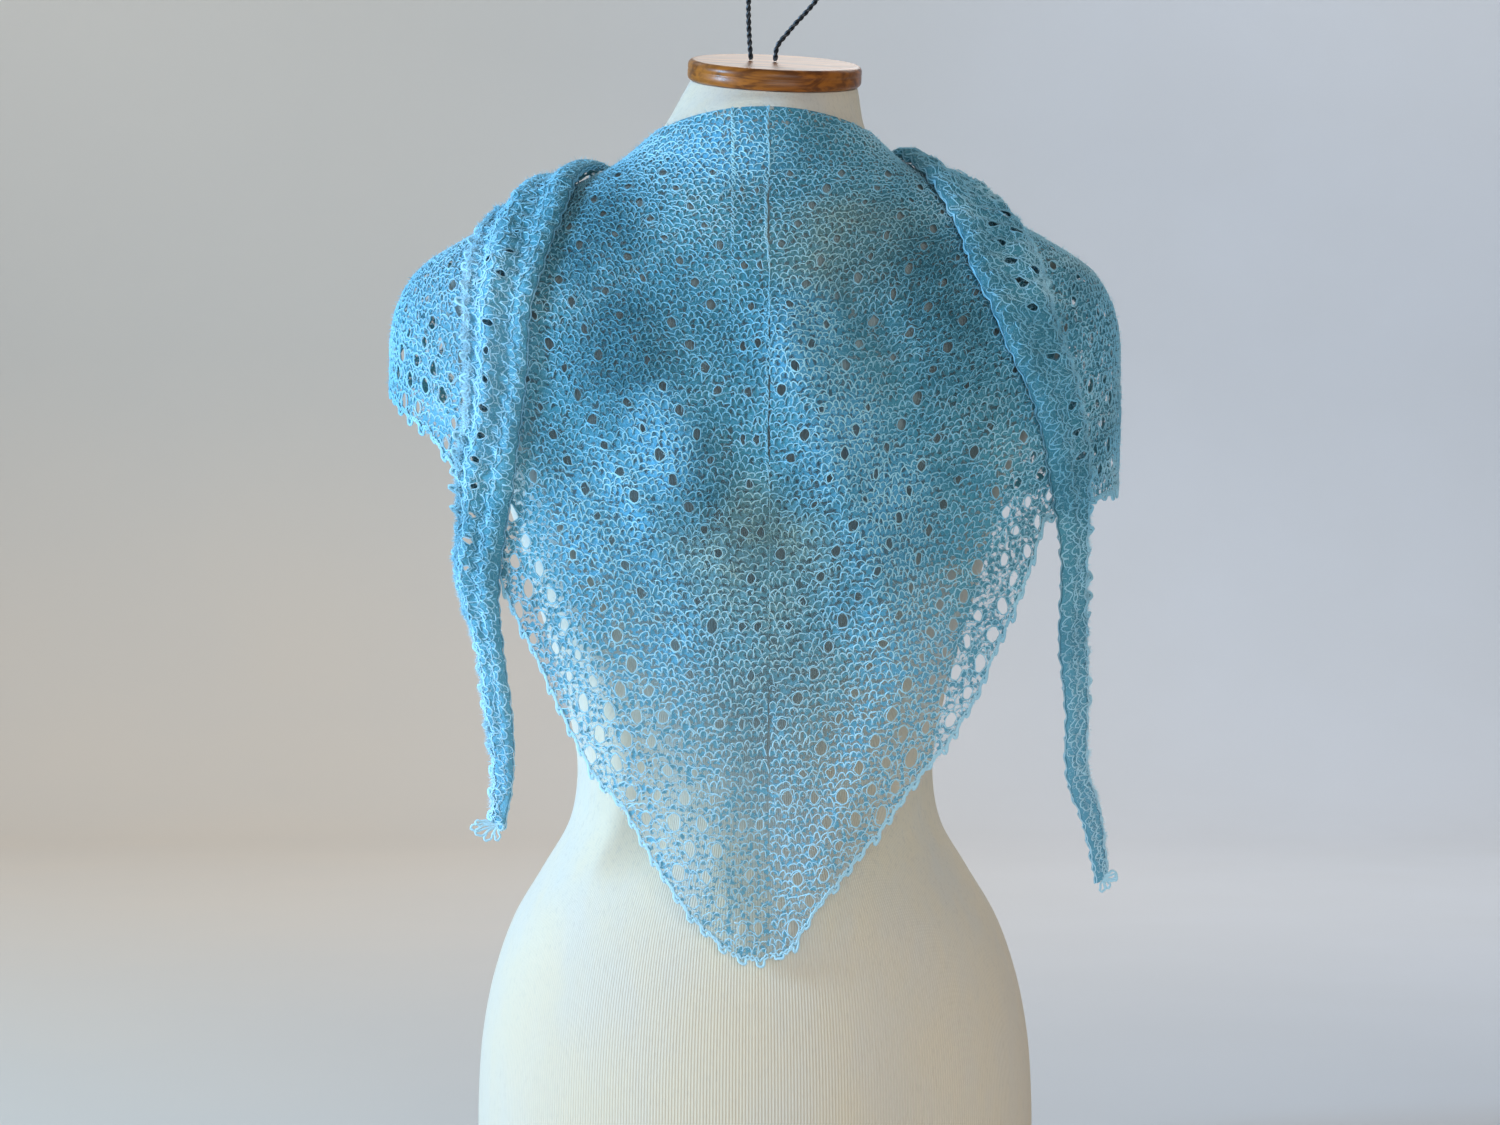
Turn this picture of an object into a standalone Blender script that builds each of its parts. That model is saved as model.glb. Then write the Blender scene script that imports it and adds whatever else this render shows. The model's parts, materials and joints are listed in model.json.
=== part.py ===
"""A knitted lace shawl, worn point forward, on a limbless dress form. Real size, +Z up, its front towards -Y.

The shawl is one triangle of lace. Its point hangs in front, its two wings go over the shoulders, cross on
the back and come forward again over the opposite shoulder as gathered tails. Each stretch is a thin wall on
one smooth surface, the drape, whose points are named by an angle round from the front and by a drop, the
distance down the cloth from the neck edge.
"""

import math

import bmesh
import bpy
import numpy as np
from mathutils import Matrix, Vector

MM = 0.001

# Cloth
WALL = 1.8 * MM
SEAM_GAP = 0.45 * MM
SHOULDER_SEAM_GAP = 0.9 * MM
CELL_DROP = 19.5 * MM
LEAST_END_CELL = 7.8 * MM
FRONT_COLUMNS = 20
SEAM_ANGLE = 110.0
PICOT_PITCH = 15.0 * MM
PICOT_DROP = 5.5 * MM
TAIL_PICOT_SHARE = 0.6

# Eyelets, as shares of the cell that each is cut from
EYELET_HALF_WIDTH = 0.28
EYELET_HALF_DROP = 0.34
SMALLEST_EYELET_CELL = 14.0 * MM

# Centre strip, which runs from the neck edge to the point
STRIP_WIDTH = 24.0 * MM
STRIP_CENTRE = -3.0 * MM
STRIP_RIB = 0.9 * MM
STRIP_RIB_PLACE = 0.7

# Wings, which lie as soft bundles: a dome from edge to edge, with folds in it that wander as they run along
DOME_SHARE = 0.55
FOLD_DRIFT = 0.9
FOLD_DRIFT_LENGTH = 68.0 * MM
ACROSS_STEPS = 12
WRAP_STATION = 30.0 * MM
TAIL_STATION = 30.0 * MM

# Dress form
NECK_CENTRE_SHIFT = 5.0 * MM
NECK_SHIFT_DROP = 130.0 * MM
FORM_SEGMENTS = 28
CAP_RADIUS = 57.5 * MM
CAP_THICKNESS = 14.0 * MM
CAP_EDGE = 4.0 * MM
CAP_SEGMENTS = 32
CAP_CENTRE = Vector((13.0, 0.0, 750.5)) * MM
CAP_TILT = math.radians(14.5)
CAP_ROLL = math.radians(2.7)
NECK_TOP_RADIUS = 55.0 * MM
TOUCH_GAP = 0.3 * MM
WIRE_RADIUS = 1.7 * MM

# The drape: the middle of the cloth's wall, in millimetres. The front and back columns are depths and
# heights on the centre line, and the side columns are the half width and height above the arm ends.
DRAPE = (
    # drop, front, front_z, side, side_z, back, back_z
    (0, 62, 719, 72, 708, 60, 716),
    (30, 71, 690, 96, 688, 72, 690),
    (60, 85, 664, 124, 673, 88, 664),
    (90, 98, 637, 151, 659, 100, 637),
    (130, 110, 598, 188, 641, 110, 598),
    (170, 120, 559, 223, 617, 116, 559),
    (200, 125, 529, 236, 593, 119, 529),
    (250, 128, 479, 240, 543, 121, 479),
    (300, 128, 429, 239, 493, 121, 429),
    (350, 126.5, 379, 238, 443, 120, 379),
    (450, 121.5, 279, 237, 343, 118, 279),
    (610, 117, 119, 236, 183, 115, 119),
)

# The front's lower edge: how far down the cloth it lies at each angle from the front, left and right
HEM = (
    # angle, left, right
    (0, 549, 549),
    (5, 541, 545),
    (10, 522, 514),
    (15, 494, 492),
    (20, 462, 472),
    (25, 446, 449),
    (30, 416, 433),
    (35, 383, 411),
    (40, 356, 379),
    (45, 322, 352),
    (50, 288, 312),
    (60, 266, 314),
    (75, 259, 317),
    (90, 247, 314),
    (110, 240, 298),
)

# The front's upper edge stays at the neck, apart from the left shoulder, where it dips behind the other wing
NECK_EDGE = (
    # angle, left, right
    (0, 0, 0),
    (90, 0, 0),
    (97, 22, 0),
    (104, 66, 0),
    (110, 102, 0),
)

# Soft creases across the front, in millimetres: a line from one place to another as seen from the front,
# its half width, and how far it stands out of the drape
CREASES = (
    # name, from_x, from_z, to_x, to_z, half_width, height
    ("right ridge", 14, 560, 74, 392, 24, 7),
    ("right trough", 62, 575, 128, 430, 26, -5),
    ("left trough", -128, 545, -52, 395, 24, -5),
    ("left ridge", -70, 560, -14, 440, 22, 4),
    ("left point ridge", -104, 372, -34, 230, 20, 5),
    ("right point ridge", 92, 360, 40, 232, 18, 4),
    ("point trough", 2, 330, 8, 200, 16, -3),
)

# The wing that starts on the right shoulder and ends as the left tail: its angle keeps growing from the
# right seam round the back. Its heading turns from across the shoulder, 90, to level, 0.
RIGHT_WING = (
    # along, angle, drop, heading, width, lift, fold
    (0, 110, 149, 90, 298, 0, 0),
    (62, 135, 147, 90, 277, 3, 2.5),
    (140, 160, 135, 90, 239, 5, 4),
    (202, 180, 113, 90, 183, 6, 5),
    (270, 205, 88, 90, 123, 7, 5),
    (320, 228, 64, 90, 68, 8, 5.5),
    (359, 250, 63, 90, 58, 9.5, 5.5),
    (391, 270, 65, 90, 54, 9.5, 5.5),
    (413, 281, 77, 72, 52, 9.5, 5.5),
    (446, 295, 100, 48, 52, 9, 5.5),
    (487, 306, 133, 24, 50, 8.5, 5.5),
    (526, 313, 166, 8, 47, 8.2, 5.2),
    (567, 317, 205, 2, 43, 8, 5),
    (608, 317, 246, 0, 39, 8, 4.8),
    (636, 315.5, 274, 0, 42, 8, 5),
    (676, 314.2, 314, 0, 35, 8, 4.4),
    (712, 313.2, 350, 0, 32, 8, 4),
    (752, 316.2, 388, 0, 20, 8, 2.6),
    (792, 318, 428, 0, 19, 8, 2.4),
    (830, 318.8, 466, 0, 13, 8, 1.3),
    (862, 317.6, 498, 0, 8, 8, 0.5),
)
RIGHT_WING_SHOULDER = 391
RIGHT_WING_FOLDS = 2.0

# The wing that starts on the left shoulder and ends as the right tail, in mirrored angles. It crosses over
# the other one on the back.
LEFT_WING = (
    # along, angle, drop, heading, width, lift, fold
    (0, 110, 171, 90, 138, 0, 0),
    (41, 126, 181, 90, 136, 8, 1),
    (76, 138, 180, 90, 136, 15, 2.5),
    (123, 152, 168, 90, 152, 19, 4),
    (197, 172, 147, 90, 172, 20, 5),
    (272, 195, 116, 90, 148, 18.5, 5),
    (332, 218, 81, 90, 98, 16, 5),
    (375, 240, 57, 90, 66, 12, 5.5),
    (404, 257, 48, 90, 60, 9.5, 5.5),
    (423, 270, 47, 90, 58, 9.5, 5.5),
    (444, 281, 60, 74, 56, 9.5, 5.5),
    (474, 292, 84, 52, 52, 9, 5.2),
    (518, 303, 122, 34, 48, 8.5, 5),
    (564, 311, 162, 22, 45, 8.2, 4.8),
    (599, 312, 197, 8, 41, 8, 4.6),
    (637, 308.5, 234, -8, 34, 8, 4.2),
    (698, 304.2, 294, -6, 30, 8, 3.8),
    (744, 303.2, 340, 0, 20, 8, 2.6),
    (800, 303.2, 396, 0, 21, 8, 2.6),
    (842, 302, 438, 0, 18, 8, 2.2),
    (888, 301.5, 484, 0, 17, 8, 2),
    (925, 296.5, 518, -8, 15, 8, 1.6),
    (968, 292.6, 560, -6, 9, 8, 0.6),
)
LEFT_WING_SHOULDER = 423
LEFT_WING_FOLDS = 1.5

# The dress form below the shoulder, in millimetres, from above the arm ends down to its flat base
FORM = (
    # front, front_z, side, side_z, back, back_z
    (106, 590, 197, 628, 104, 590),
    (111, 560, 206, 600, 106, 560),
    (116, 530, 205, 566, 107, 530),
    (118, 500, 192, 532, 105, 500),
    (117, 472, 174, 498, 101, 472),
    (114, 444, 160, 458, 97, 444),
    (106, 408, 146, 410, 90, 408),
    (98, 370, 134, 370, 84, 370),
    (91, 330, 123, 330, 80, 330),
    (89, 290, 117, 290, 80, 290),
    (93, 258, 122, 258, 86, 258),
    (101, 228, 139, 228, 98, 228),
    (108, 196, 158, 196, 111, 196),
    (111, 160, 171, 160, 121, 160),
    (112, 120, 179, 120, 127, 120),
    (112, 78, 182, 78, 128, 78),
    (110, 38, 182, 38, 125, 38),
    (107, 0, 180, 0, 120, 0),
)
# How far inside the drape the form's neck and shoulders lie, down to where the cloth leaves them
NECK_AND_SHOULDER = (
    # drop, inside
    (0, 1.7),
    (18, 1.7),
    (40, 1.9),
    (64, 2.4),
    (90, 3.2),
    (116, 4.5),
)

# The wire loop, in millimetres from the middle of the neck cap's top
LOOP = (
    # x, y, z
    (-16.0, 0.0, 0.0),
    (-17.0, 0.0, 16.0),
    (-17.5, 0.0, 40.0),
    (-15.0, 0.0, 66.0),
    (-6.0, 0.0, 90.0),
    (9.0, 0.0, 104.0),
    (26.0, 0.0, 105.0),
    (39.0, 0.0, 94.0),
    (43.0, 0.0, 76.0),
    (38.0, 0.0, 56.0),
    (25.0, 0.0, 38.0),
    (9.0, 0.0, 20.0),
    (1.0, 0.0, 9.0),
    (0.0, 0.0, 0.0),
)
LOOP_POINTS = 30


def clear_scene():
    for old in list(bpy.data.objects):
        bpy.data.objects.remove(old, do_unlink=True)


def material(name, colour, roughness, metallic=0.0):
    made = bpy.data.materials.new(name)
    made.use_nodes = True
    shader = made.node_tree.nodes["Principled BSDF"]
    shader.inputs["Base Color"].default_value = (*colour, 1.0)
    shader.inputs["Roughness"].default_value = roughness
    shader.inputs["Metallic"].default_value = metallic
    made.diffuse_color = (*colour, 1.0)
    return made


def add_object(name, mesh, surface):
    mesh.materials.append(surface)
    made = bpy.data.objects.new(name, mesh)
    bpy.context.scene.collection.objects.link(made)
    return made


def smooth_value(rows, place, column):
    """A column of a table at a place along its first column, on a smooth curve through the rows."""
    places = np.array([row[0] for row in rows], float)
    values = np.array([row[column] for row in rows], float)
    slopes = np.gradient(values, places)
    low = int(np.clip(np.searchsorted(places, place) - 1, 0, len(places) - 2))
    span = places[low + 1] - places[low]
    t = (place - places[low]) / span
    start = (2 * t**3 - 3 * t**2 + 1) * values[low] + (t**3 - 2 * t**2 + t) * span * slopes[low]
    end = (3 * t**2 - 2 * t**3) * values[low + 1] + (t**3 - t**2) * span * slopes[low + 1]
    return float(start + end)


def straight_value(rows, place, column):
    return float(np.interp(place, [row[0] for row in rows], [row[column] for row in rows]))


def ring_point(angle, front, front_z, side, side_z, back, back_z, shift=0.0):
    """A point of a ring that rises over the arm ends. The angle is in degrees, round from the front."""
    turn = math.radians(angle)
    depth, height = (front, front_z) if math.cos(turn) >= 0 else (back, back_z)
    rise = (height - side_z) * math.cos(turn) ** 2
    return Vector((shift + side * math.sin(turn), -depth * math.cos(turn), side_z + rise))


def crease_height(x, z):
    """How far the front's creases stand out at a place seen from the front, in metres."""
    total = 0.0
    for _, from_x, from_z, to_x, to_z, half_width, height in CREASES:
        start = np.array((from_x, from_z)) * MM
        way = np.array((to_x, to_z)) * MM - start
        share = float(np.dot(np.array((x, z)) - start, way) / np.dot(way, way))
        nearest = start + way * min(1.0, max(0.0, share))
        apart = math.hypot(x - nearest[0], z - nearest[1]) / (half_width * MM)
        total += height * MM * math.exp(-apart * apart)
    return total


def neck_shift(drop):
    """How far right of the form's middle a ring of the drape lies."""
    return NECK_CENTRE_SHIFT * max(0.0, 1.0 - drop / NECK_SHIFT_DROP)


def bare_drape_point(angle, drop):
    sizes = [smooth_value(DRAPE, drop / MM, column) * MM for column in range(1, 7)]
    return ring_point(angle, *sizes, neck_shift(drop))


def drape_frame(angle, drop):
    """The drape's point, its ways round, down and out, each of unit length, and metres a degree round."""
    turn_step = 0.5
    drop_step = 1.0 * MM
    round_way = bare_drape_point(angle + turn_step, drop) - bare_drape_point(angle - turn_step, drop)
    low = max(drop - drop_step, 0.0)
    down_way = bare_drape_point(angle, drop + drop_step) - bare_drape_point(angle, low)
    degree = round_way.length / (2 * turn_step)
    round_way.normalize()
    down_way.normalize()
    out = down_way.cross(round_way).normalized()
    return bare_drape_point(angle, drop), round_way, down_way, out, degree


def drape_point(angle, drop, lift=0.0):
    """A point of the worn cloth, with its creases in front, moved out by lift."""
    place, _, _, out, _ = drape_frame(angle, drop)
    crease = crease_height(place.x, place.z) if place.y < 0 else 0.0
    return place + out * (lift + crease)


def half_gap_angle(drop):
    """Half of the gap between the front and a wing, in degrees round the drape."""
    _, _, _, _, degree = drape_frame(SEAM_ANGLE, drop)
    return SEAM_GAP / degree / 2


class Cloth:
    """A sheet of cloth as points and faces, which a Solidify turns into a wall."""

    def __init__(self):
        self.mesh = bmesh.new()

    def point(self, place):
        return self.mesh.verts.new(place)

    def face(self, corners):
        kept = [corner for i, corner in enumerate(corners) if corner is not corners[i - 1]]
        if len(kept) > 2:
            self.mesh.faces.new(kept)

    def eyelet(self, corners, place):
        """Fills a cell, but for a pointed oval. Place gives a point at shares across and down the cell."""
        across = EYELET_HALF_WIDTH
        down = EYELET_HALF_DROP
        top = self.point(place(0.5, 0.5 - down))
        bottom = self.point(place(0.5, 0.5 + down))
        high_left, high_right = [self.point(place(0.5 + x, 0.5 - down / 2)) for x in (-across, across)]
        low_left, low_right = [self.point(place(0.5 + x, 0.5 + down / 2)) for x in (-across, across)]
        a, b, c, d = corners
        self.face([a, b, top])
        self.face([b, high_right, top])
        self.face([b, c, low_right, high_right])
        self.face([c, bottom, low_right])
        self.face([c, d, bottom])
        self.face([d, low_left, bottom])
        self.face([d, a, high_left, low_left])
        self.face([a, top, high_left])

    def finish(self, name, surface):
        mesh = bpy.data.meshes.new(name)
        self.mesh.to_mesh(mesh)
        self.mesh.free()
        mesh.shade_smooth()
        made = add_object(name, mesh, surface)
        wall = made.modifiers.new("wall", "SOLIDIFY")
        wall.thickness = WALL
        wall.offset = 0.0
        return made


def picots(cloth, start, end, place):
    """Small teeth along an edge from start to end. Place gives a point at a share and a depth."""
    count = max(1, round((end - start).length / PICOT_PITCH))
    made = []
    for number in range(count):
        made.append(cloth.point(place((number + 0.5) / count, PICOT_DROP)))
        if number < count - 1:
            made.append(cloth.point(place((number + 1) / count, 0.0)))
    return made


def big_enough(corners):
    """Whether a cell is wide and deep enough for one of the larger eyelets."""
    a, b, c, d = [corner.co for corner in corners]
    return min((b - a).length, (c - d).length, (d - a).length, (c - b).length) > SMALLEST_EYELET_CELL


class Column:
    """A column of cloth points: at its top, on each cell line that it crosses, and at its lower edge."""

    def __init__(self, cloth, place, share, top, bottom):
        self.share = share
        self.top = top
        self.bottom = bottom
        self.high = math.floor((top + LEAST_END_CELL) / CELL_DROP) + 1
        self.low = math.ceil((bottom - LEAST_END_CELL) / CELL_DROP) - 1
        self.lines = {}
        for line in range(self.high, self.low + 1):
            self.lines[line] = cloth.point(place(share, line * CELL_DROP))
        self.top_point = cloth.point(place(share, top))
        self.hem_point = cloth.point(place(share, bottom))

    def down_to(self, line):
        return [self.top_point] + [self.lines[number] for number in range(self.high, line + 1)]

    def down_from(self, line):
        return [self.lines[number] for number in range(line, self.low + 1)] + [self.hem_point]


def join_columns(cloth, left, right, place, eyelet_at):
    """Fills the cloth between two columns, with its eyelets, down to the picots on the lower edge."""
    high = max(left.high, right.high)
    low = min(left.low, right.low)
    for line in range(high, low):
        corners = (left.lines[line], right.lines[line], right.lines[line + 1], left.lines[line + 1])
        if eyelet_at(line) and big_enough(corners):

            def in_cell(across, down, line=line):
                share = left.share + (right.share - left.share) * across
                return place(share, (line + down) * CELL_DROP)

            cloth.eyelet(corners, in_cell)
        else:
            cloth.face(corners)
    cloth.face(left.down_to(high)[::-1] + right.down_to(high))

    def on_hem(share, depth):
        across = right.share + (left.share - right.share) * share
        return place(across, right.bottom + (left.bottom - right.bottom) * share + depth)

    teeth = picots(cloth, right.hem_point.co, left.hem_point.co, on_hem)
    cloth.face(right.down_from(low) + teeth + left.down_from(low)[::-1])


def angle_of(x, drop):
    """The angle at which the drape's front has this x."""
    half_width = smooth_value(DRAPE, drop / MM, 3) * MM
    return math.degrees(math.asin((x - neck_shift(drop)) / half_width))


def front_half(name, side, surface):
    """One half of the front, from the centre strip over its shoulder to the seam with its wing."""
    cloth = Cloth()
    table_column = 1 if side < 0 else 2
    inner_x = STRIP_CENTRE + side * (STRIP_WIDTH / 2 + SEAM_GAP)

    def place(share, drop):
        inner = angle_of(inner_x, drop)
        outer = side * (SEAM_ANGLE - half_gap_angle(drop))
        return drape_point(inner + (outer - inner) * share, drop)

    columns = []
    for number in range(FRONT_COLUMNS + 1):
        share = number / FRONT_COLUMNS
        angle = share * SEAM_ANGLE
        top = straight_value(NECK_EDGE, angle, table_column) * MM
        bottom = straight_value(HEM, angle, table_column) * MM
        columns.append(Column(cloth, place, share, top, bottom))
    for number, (left, right) in enumerate(zip(columns, columns[1:])):
        join_columns(cloth, left, right, place, lambda line, number=number: (number + line) % 2 == 0)
    return cloth.finish(name, surface)


def centre_strip(surface):
    """The strip down the middle of the front, with a raised rib of twisted stitches along each side."""
    cloth = Cloth()
    bottom = straight_value(HEM, 0.0, 1) * MM

    def place(share, drop):
        x = STRIP_CENTRE + STRIP_WIDTH * (share - 0.5)
        rib = 1.0 if abs(abs(2 * share - 1) - STRIP_RIB_PLACE) < 0.01 else 0.0
        return drape_point(angle_of(x, drop), drop, STRIP_RIB * rib)

    shares = [0.0, (1 - STRIP_RIB_PLACE) / 2, (1 + STRIP_RIB_PLACE) / 2, 1.0]
    columns = [Column(cloth, place, share, 0.0, bottom) for share in shares]
    for left, right in zip(columns, columns[1:]):
        join_columns(cloth, left, right, place, lambda line: False)
    return cloth.finish("centre_strip", surface)


def fold_height(folds, along, across):
    """How high a wing's section stands at a place, from -1 to 1."""
    dome = 2 * math.cos(math.pi * across) - 1
    drift = FOLD_DRIFT * math.sin(along / FOLD_DRIFT_LENGTH)
    wave = math.sin(2 * math.pi * folds * (across + 0.5) + drift)
    return DOME_SHARE * dome + (1 - DOME_SHARE) * wave


def wing_point(rows, folds, side, along, across):
    """A point of a wing. Across goes from -0.5 at the edge by the neck to 0.5 at the picot edge."""
    values = [smooth_value(rows, along / MM, column) for column in range(1, 7)]
    angle, drop, heading, width, lift, fold = values
    turn = math.radians(heading)
    offset = across * width * MM
    _, _, _, _, degree = drape_frame(side * angle, drop * MM)
    drop_here = drop * MM + offset * math.sin(turn)
    angle_here = angle - offset * math.cos(turn) / degree + half_gap_angle(drop_here)
    height = lift + fold * fold_height(folds, along, across)
    return drape_point(side * angle_here, drop_here, height * MM)


def wing_stretch(name, rows, folds, side, start, end, station, surface):
    """A stretch of a wing, between two distances along it, with its folds, eyelets and picots."""
    cloth = Cloth()
    count = round((end - start) / station)
    steps = ACROSS_STEPS
    grid = []
    for number in range(count + 1):
        along = start + (end - start) * number / count
        places = [wing_point(rows, folds, side, along, step / steps - 0.5) for step in range(steps + 1)]
        grid.append([cloth.point(place) for place in places])
    for number in range(count):
        along = start + (end - start) * number / count
        reach = (end - start) / count
        for step in range(steps):
            here, ahead = grid[number], grid[number + 1]
            corners = [here[step], ahead[step], ahead[step + 1], here[step + 1]]

            def in_cell(x, y, along=along, step=step):
                return wing_point(rows, folds, side, along + reach * x, (step + y) / steps - 0.5)

            if step == steps - 1:

                def on_hem(share, depth, along=along):
                    place = wing_point(rows, folds, side, along + reach * (1 - share), 0.5)
                    inner = wing_point(rows, folds, side, along + reach * (1 - share), 0.5 - 1 / steps)
                    return place + (place - inner).normalized() * depth * TAIL_PICOT_SHARE

                teeth = picots(cloth, ahead[steps].co, here[steps].co, on_hem)
                cloth.face(corners[:3] + teeth + corners[3:])
            elif step > 0 and (number + step) % 2 == 0 and big_enough(corners):
                cloth.eyelet(corners, in_cell)
            else:
                cloth.face(corners)
    return cloth.finish(name, surface)


def wing(side, rows, folds, shoulder, wrap_name, tail_name, surface):
    """A wing as two stretches: the wrap across the back, and the tail that hangs in front."""
    end = rows[-1][0] * MM
    middle = shoulder * MM
    half_gap = SHOULDER_SEAM_GAP / 2
    wing_stretch(wrap_name, rows, folds, side, 0.0, middle - half_gap, WRAP_STATION, surface)
    wing_stretch(tail_name, rows, folds, side, middle + half_gap, end, TAIL_STATION, surface)


def cap_matrix():
    roll = Matrix.Rotation(CAP_ROLL, 4, "Y")
    tilt = Matrix.Rotation(CAP_TILT, 4, "X")
    return Matrix.Translation(CAP_CENTRE) @ roll @ tilt


def form_rings():
    """Rings of points from the neck's top, under the cap, down to the base."""
    angles = [360.0 * number / FORM_SEGMENTS for number in range(FORM_SEGMENTS)]
    under_cap = -CAP_THICKNESS / 2 - TOUCH_GAP
    neck_top = []
    for angle in angles:
        turn = math.radians(angle)
        place = Vector((NECK_TOP_RADIUS * math.sin(turn), -NECK_TOP_RADIUS * math.cos(turn), under_cap))
        neck_top.append(cap_matrix() @ place)
    rings = [neck_top]
    for drop, inside in NECK_AND_SHOULDER:
        ring = []
        for angle in angles:
            place, _, _, out, _ = drape_frame(angle, drop * MM)
            ring.append(place - out * inside * MM)
        rings.append(ring)
    for sizes in FORM:
        rings.append([ring_point(angle, *[size * MM for size in sizes]) for angle in angles])
    return rings


def form_torso(surface):
    mesh = bmesh.new()
    rings = [[mesh.verts.new(place) for place in ring] for ring in form_rings()]
    for upper, lower in zip(rings, rings[1:]):
        for number in range(FORM_SEGMENTS):
            after = (number + 1) % FORM_SEGMENTS
            mesh.faces.new((upper[after], upper[number], lower[number], lower[after]))
    mesh.faces.new(rings[0])
    mesh.faces.new(rings[-1][::-1])
    bmesh.ops.recalc_face_normals(mesh, faces=mesh.faces)
    made = bpy.data.meshes.new("form_torso")
    mesh.to_mesh(made)
    mesh.free()
    made.shade_smooth()
    made.set_sharp_from_angle(angle=math.radians(50))
    return add_object("form_torso", made, surface)


def neck_cap(surface):
    mesh = bmesh.new()
    sizes = {"radius1": CAP_RADIUS, "radius2": CAP_RADIUS, "depth": CAP_THICKNESS}
    bmesh.ops.create_cone(mesh, cap_ends=True, segments=CAP_SEGMENTS, **sizes)
    made = bpy.data.meshes.new("neck_cap")
    mesh.to_mesh(made)
    mesh.free()
    made.shade_smooth()
    made.set_sharp_from_angle(angle=math.radians(40))
    cap = add_object("neck_cap", made, surface)
    cap.matrix_world = cap_matrix()
    edge = cap.modifiers.new("rounded edge", "BEVEL")
    edge.width = CAP_EDGE
    edge.segments = 2
    edge.limit_method = "ANGLE"
    return cap


def loop_route():
    """Points along the wire loop. Both its feet stand a touch above the cap's sloping top."""
    middle = cap_matrix() @ Vector((0.0, 0.0, CAP_THICKNESS / 2))
    foot = TOUCH_GAP + WIRE_RADIUS * (math.tan(CAP_TILT) + math.tan(CAP_ROLL))
    points = [Vector(row) * MM for row in LOOP]
    for end in (points[0], points[-1]):
        end.z += foot - end.x * math.tan(CAP_ROLL)
    rows = []
    reach = 0.0
    for before, point in zip([points[0]] + points, points):
        reach += (point - before).length
        rows.append((reach, *point))
    route = []
    for number in range(LOOP_POINTS):
        place = reach * number / (LOOP_POINTS - 1)
        route.append(middle + Vector([smooth_value(rows, place, column) for column in (1, 2, 3)]))
    return route


def hanging_loop(surface):
    curve = bpy.data.curves.new("hanging_loop", "CURVE")
    curve.dimensions = "3D"
    curve.bevel_depth = WIRE_RADIUS
    curve.bevel_resolution = 2
    curve.use_fill_caps = True
    route = loop_route()
    spline = curve.splines.new("POLY")
    spline.points.add(len(route) - 1)
    for point, place in zip(spline.points, route):
        point.co = (*place, 1.0)
    curve.materials.append(surface)
    made = bpy.data.objects.new("hanging_loop", curve)
    bpy.context.scene.collection.objects.link(made)
    return made


def build():
    clear_scene()
    yarn = material("lace_yarn", (0.30, 0.58, 0.68), 0.85)
    jersey = material("ribbed_jersey", (0.80, 0.76, 0.68), 0.9)
    wood = material("varnished_wood", (0.48, 0.22, 0.08), 0.35)
    steel = material("loop_steel", (0.20, 0.21, 0.22), 0.45, 0.9)

    form_torso(jersey)
    neck_cap(wood)
    hanging_loop(steel)
    front_half("front_left", -1, yarn)
    front_half("front_right", 1, yarn)
    centre_strip(yarn)
    wing(1, RIGHT_WING, RIGHT_WING_FOLDS, RIGHT_WING_SHOULDER, "wrap_from_right", "tail_left", yarn)
    wing(-1, LEFT_WING, LEFT_WING_FOLDS, LEFT_WING_SHOULDER, "wrap_from_left", "tail_right", yarn)


build()
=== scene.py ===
"""The looks of a knitted lace shawl on a dress form: yarn, eyelets, picots, fuzz, jersey, wood and wire. Metres."""

import json
import math

import bpy
import numpy as np
from mathutils import Matrix, Vector

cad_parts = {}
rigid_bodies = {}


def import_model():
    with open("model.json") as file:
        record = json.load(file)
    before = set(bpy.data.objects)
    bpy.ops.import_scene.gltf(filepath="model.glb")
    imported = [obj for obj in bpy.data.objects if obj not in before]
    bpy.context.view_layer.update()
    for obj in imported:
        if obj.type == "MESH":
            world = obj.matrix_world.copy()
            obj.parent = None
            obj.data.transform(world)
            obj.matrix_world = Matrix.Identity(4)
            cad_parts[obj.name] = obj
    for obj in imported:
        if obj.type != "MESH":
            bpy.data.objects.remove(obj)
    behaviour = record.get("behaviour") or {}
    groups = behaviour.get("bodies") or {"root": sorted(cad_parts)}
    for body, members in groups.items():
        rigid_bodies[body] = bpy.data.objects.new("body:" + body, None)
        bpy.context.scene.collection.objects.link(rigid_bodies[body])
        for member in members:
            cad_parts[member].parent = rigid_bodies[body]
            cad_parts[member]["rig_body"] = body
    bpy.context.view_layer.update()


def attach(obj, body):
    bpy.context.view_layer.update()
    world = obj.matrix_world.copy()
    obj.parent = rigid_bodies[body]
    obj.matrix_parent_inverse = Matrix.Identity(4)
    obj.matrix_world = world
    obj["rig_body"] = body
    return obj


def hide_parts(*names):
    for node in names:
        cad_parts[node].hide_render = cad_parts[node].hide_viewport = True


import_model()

MM = 0.001
chance = np.random.default_rng(11)

# Stitches
STITCH = 4.9 * MM
HALF_STITCH = STITCH / 2
TOP_ROW = 4.2 * MM
LOW_ROW = 5.5 * MM
WING_ROW = 4.8 * MM
UNEVEN = 0.38 * MM
WANDER = 1.8 * MM
ARC = 4.7 * MM
STEPS_AN_ARC = 7.5
BACK_STEPS_AN_ARC = 5.5
ARC_HEIGHT = 0.92
ARC_CURL = 0.17
ARC_DIP = 0.30 * MM
YARN_HALF_WIDTH = 0.37 * MM
YARN_HEIGHT = 0.65 * MM
YARN_LIFT = 0.55 * MM
SUNK = 0.50 * MM

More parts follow.
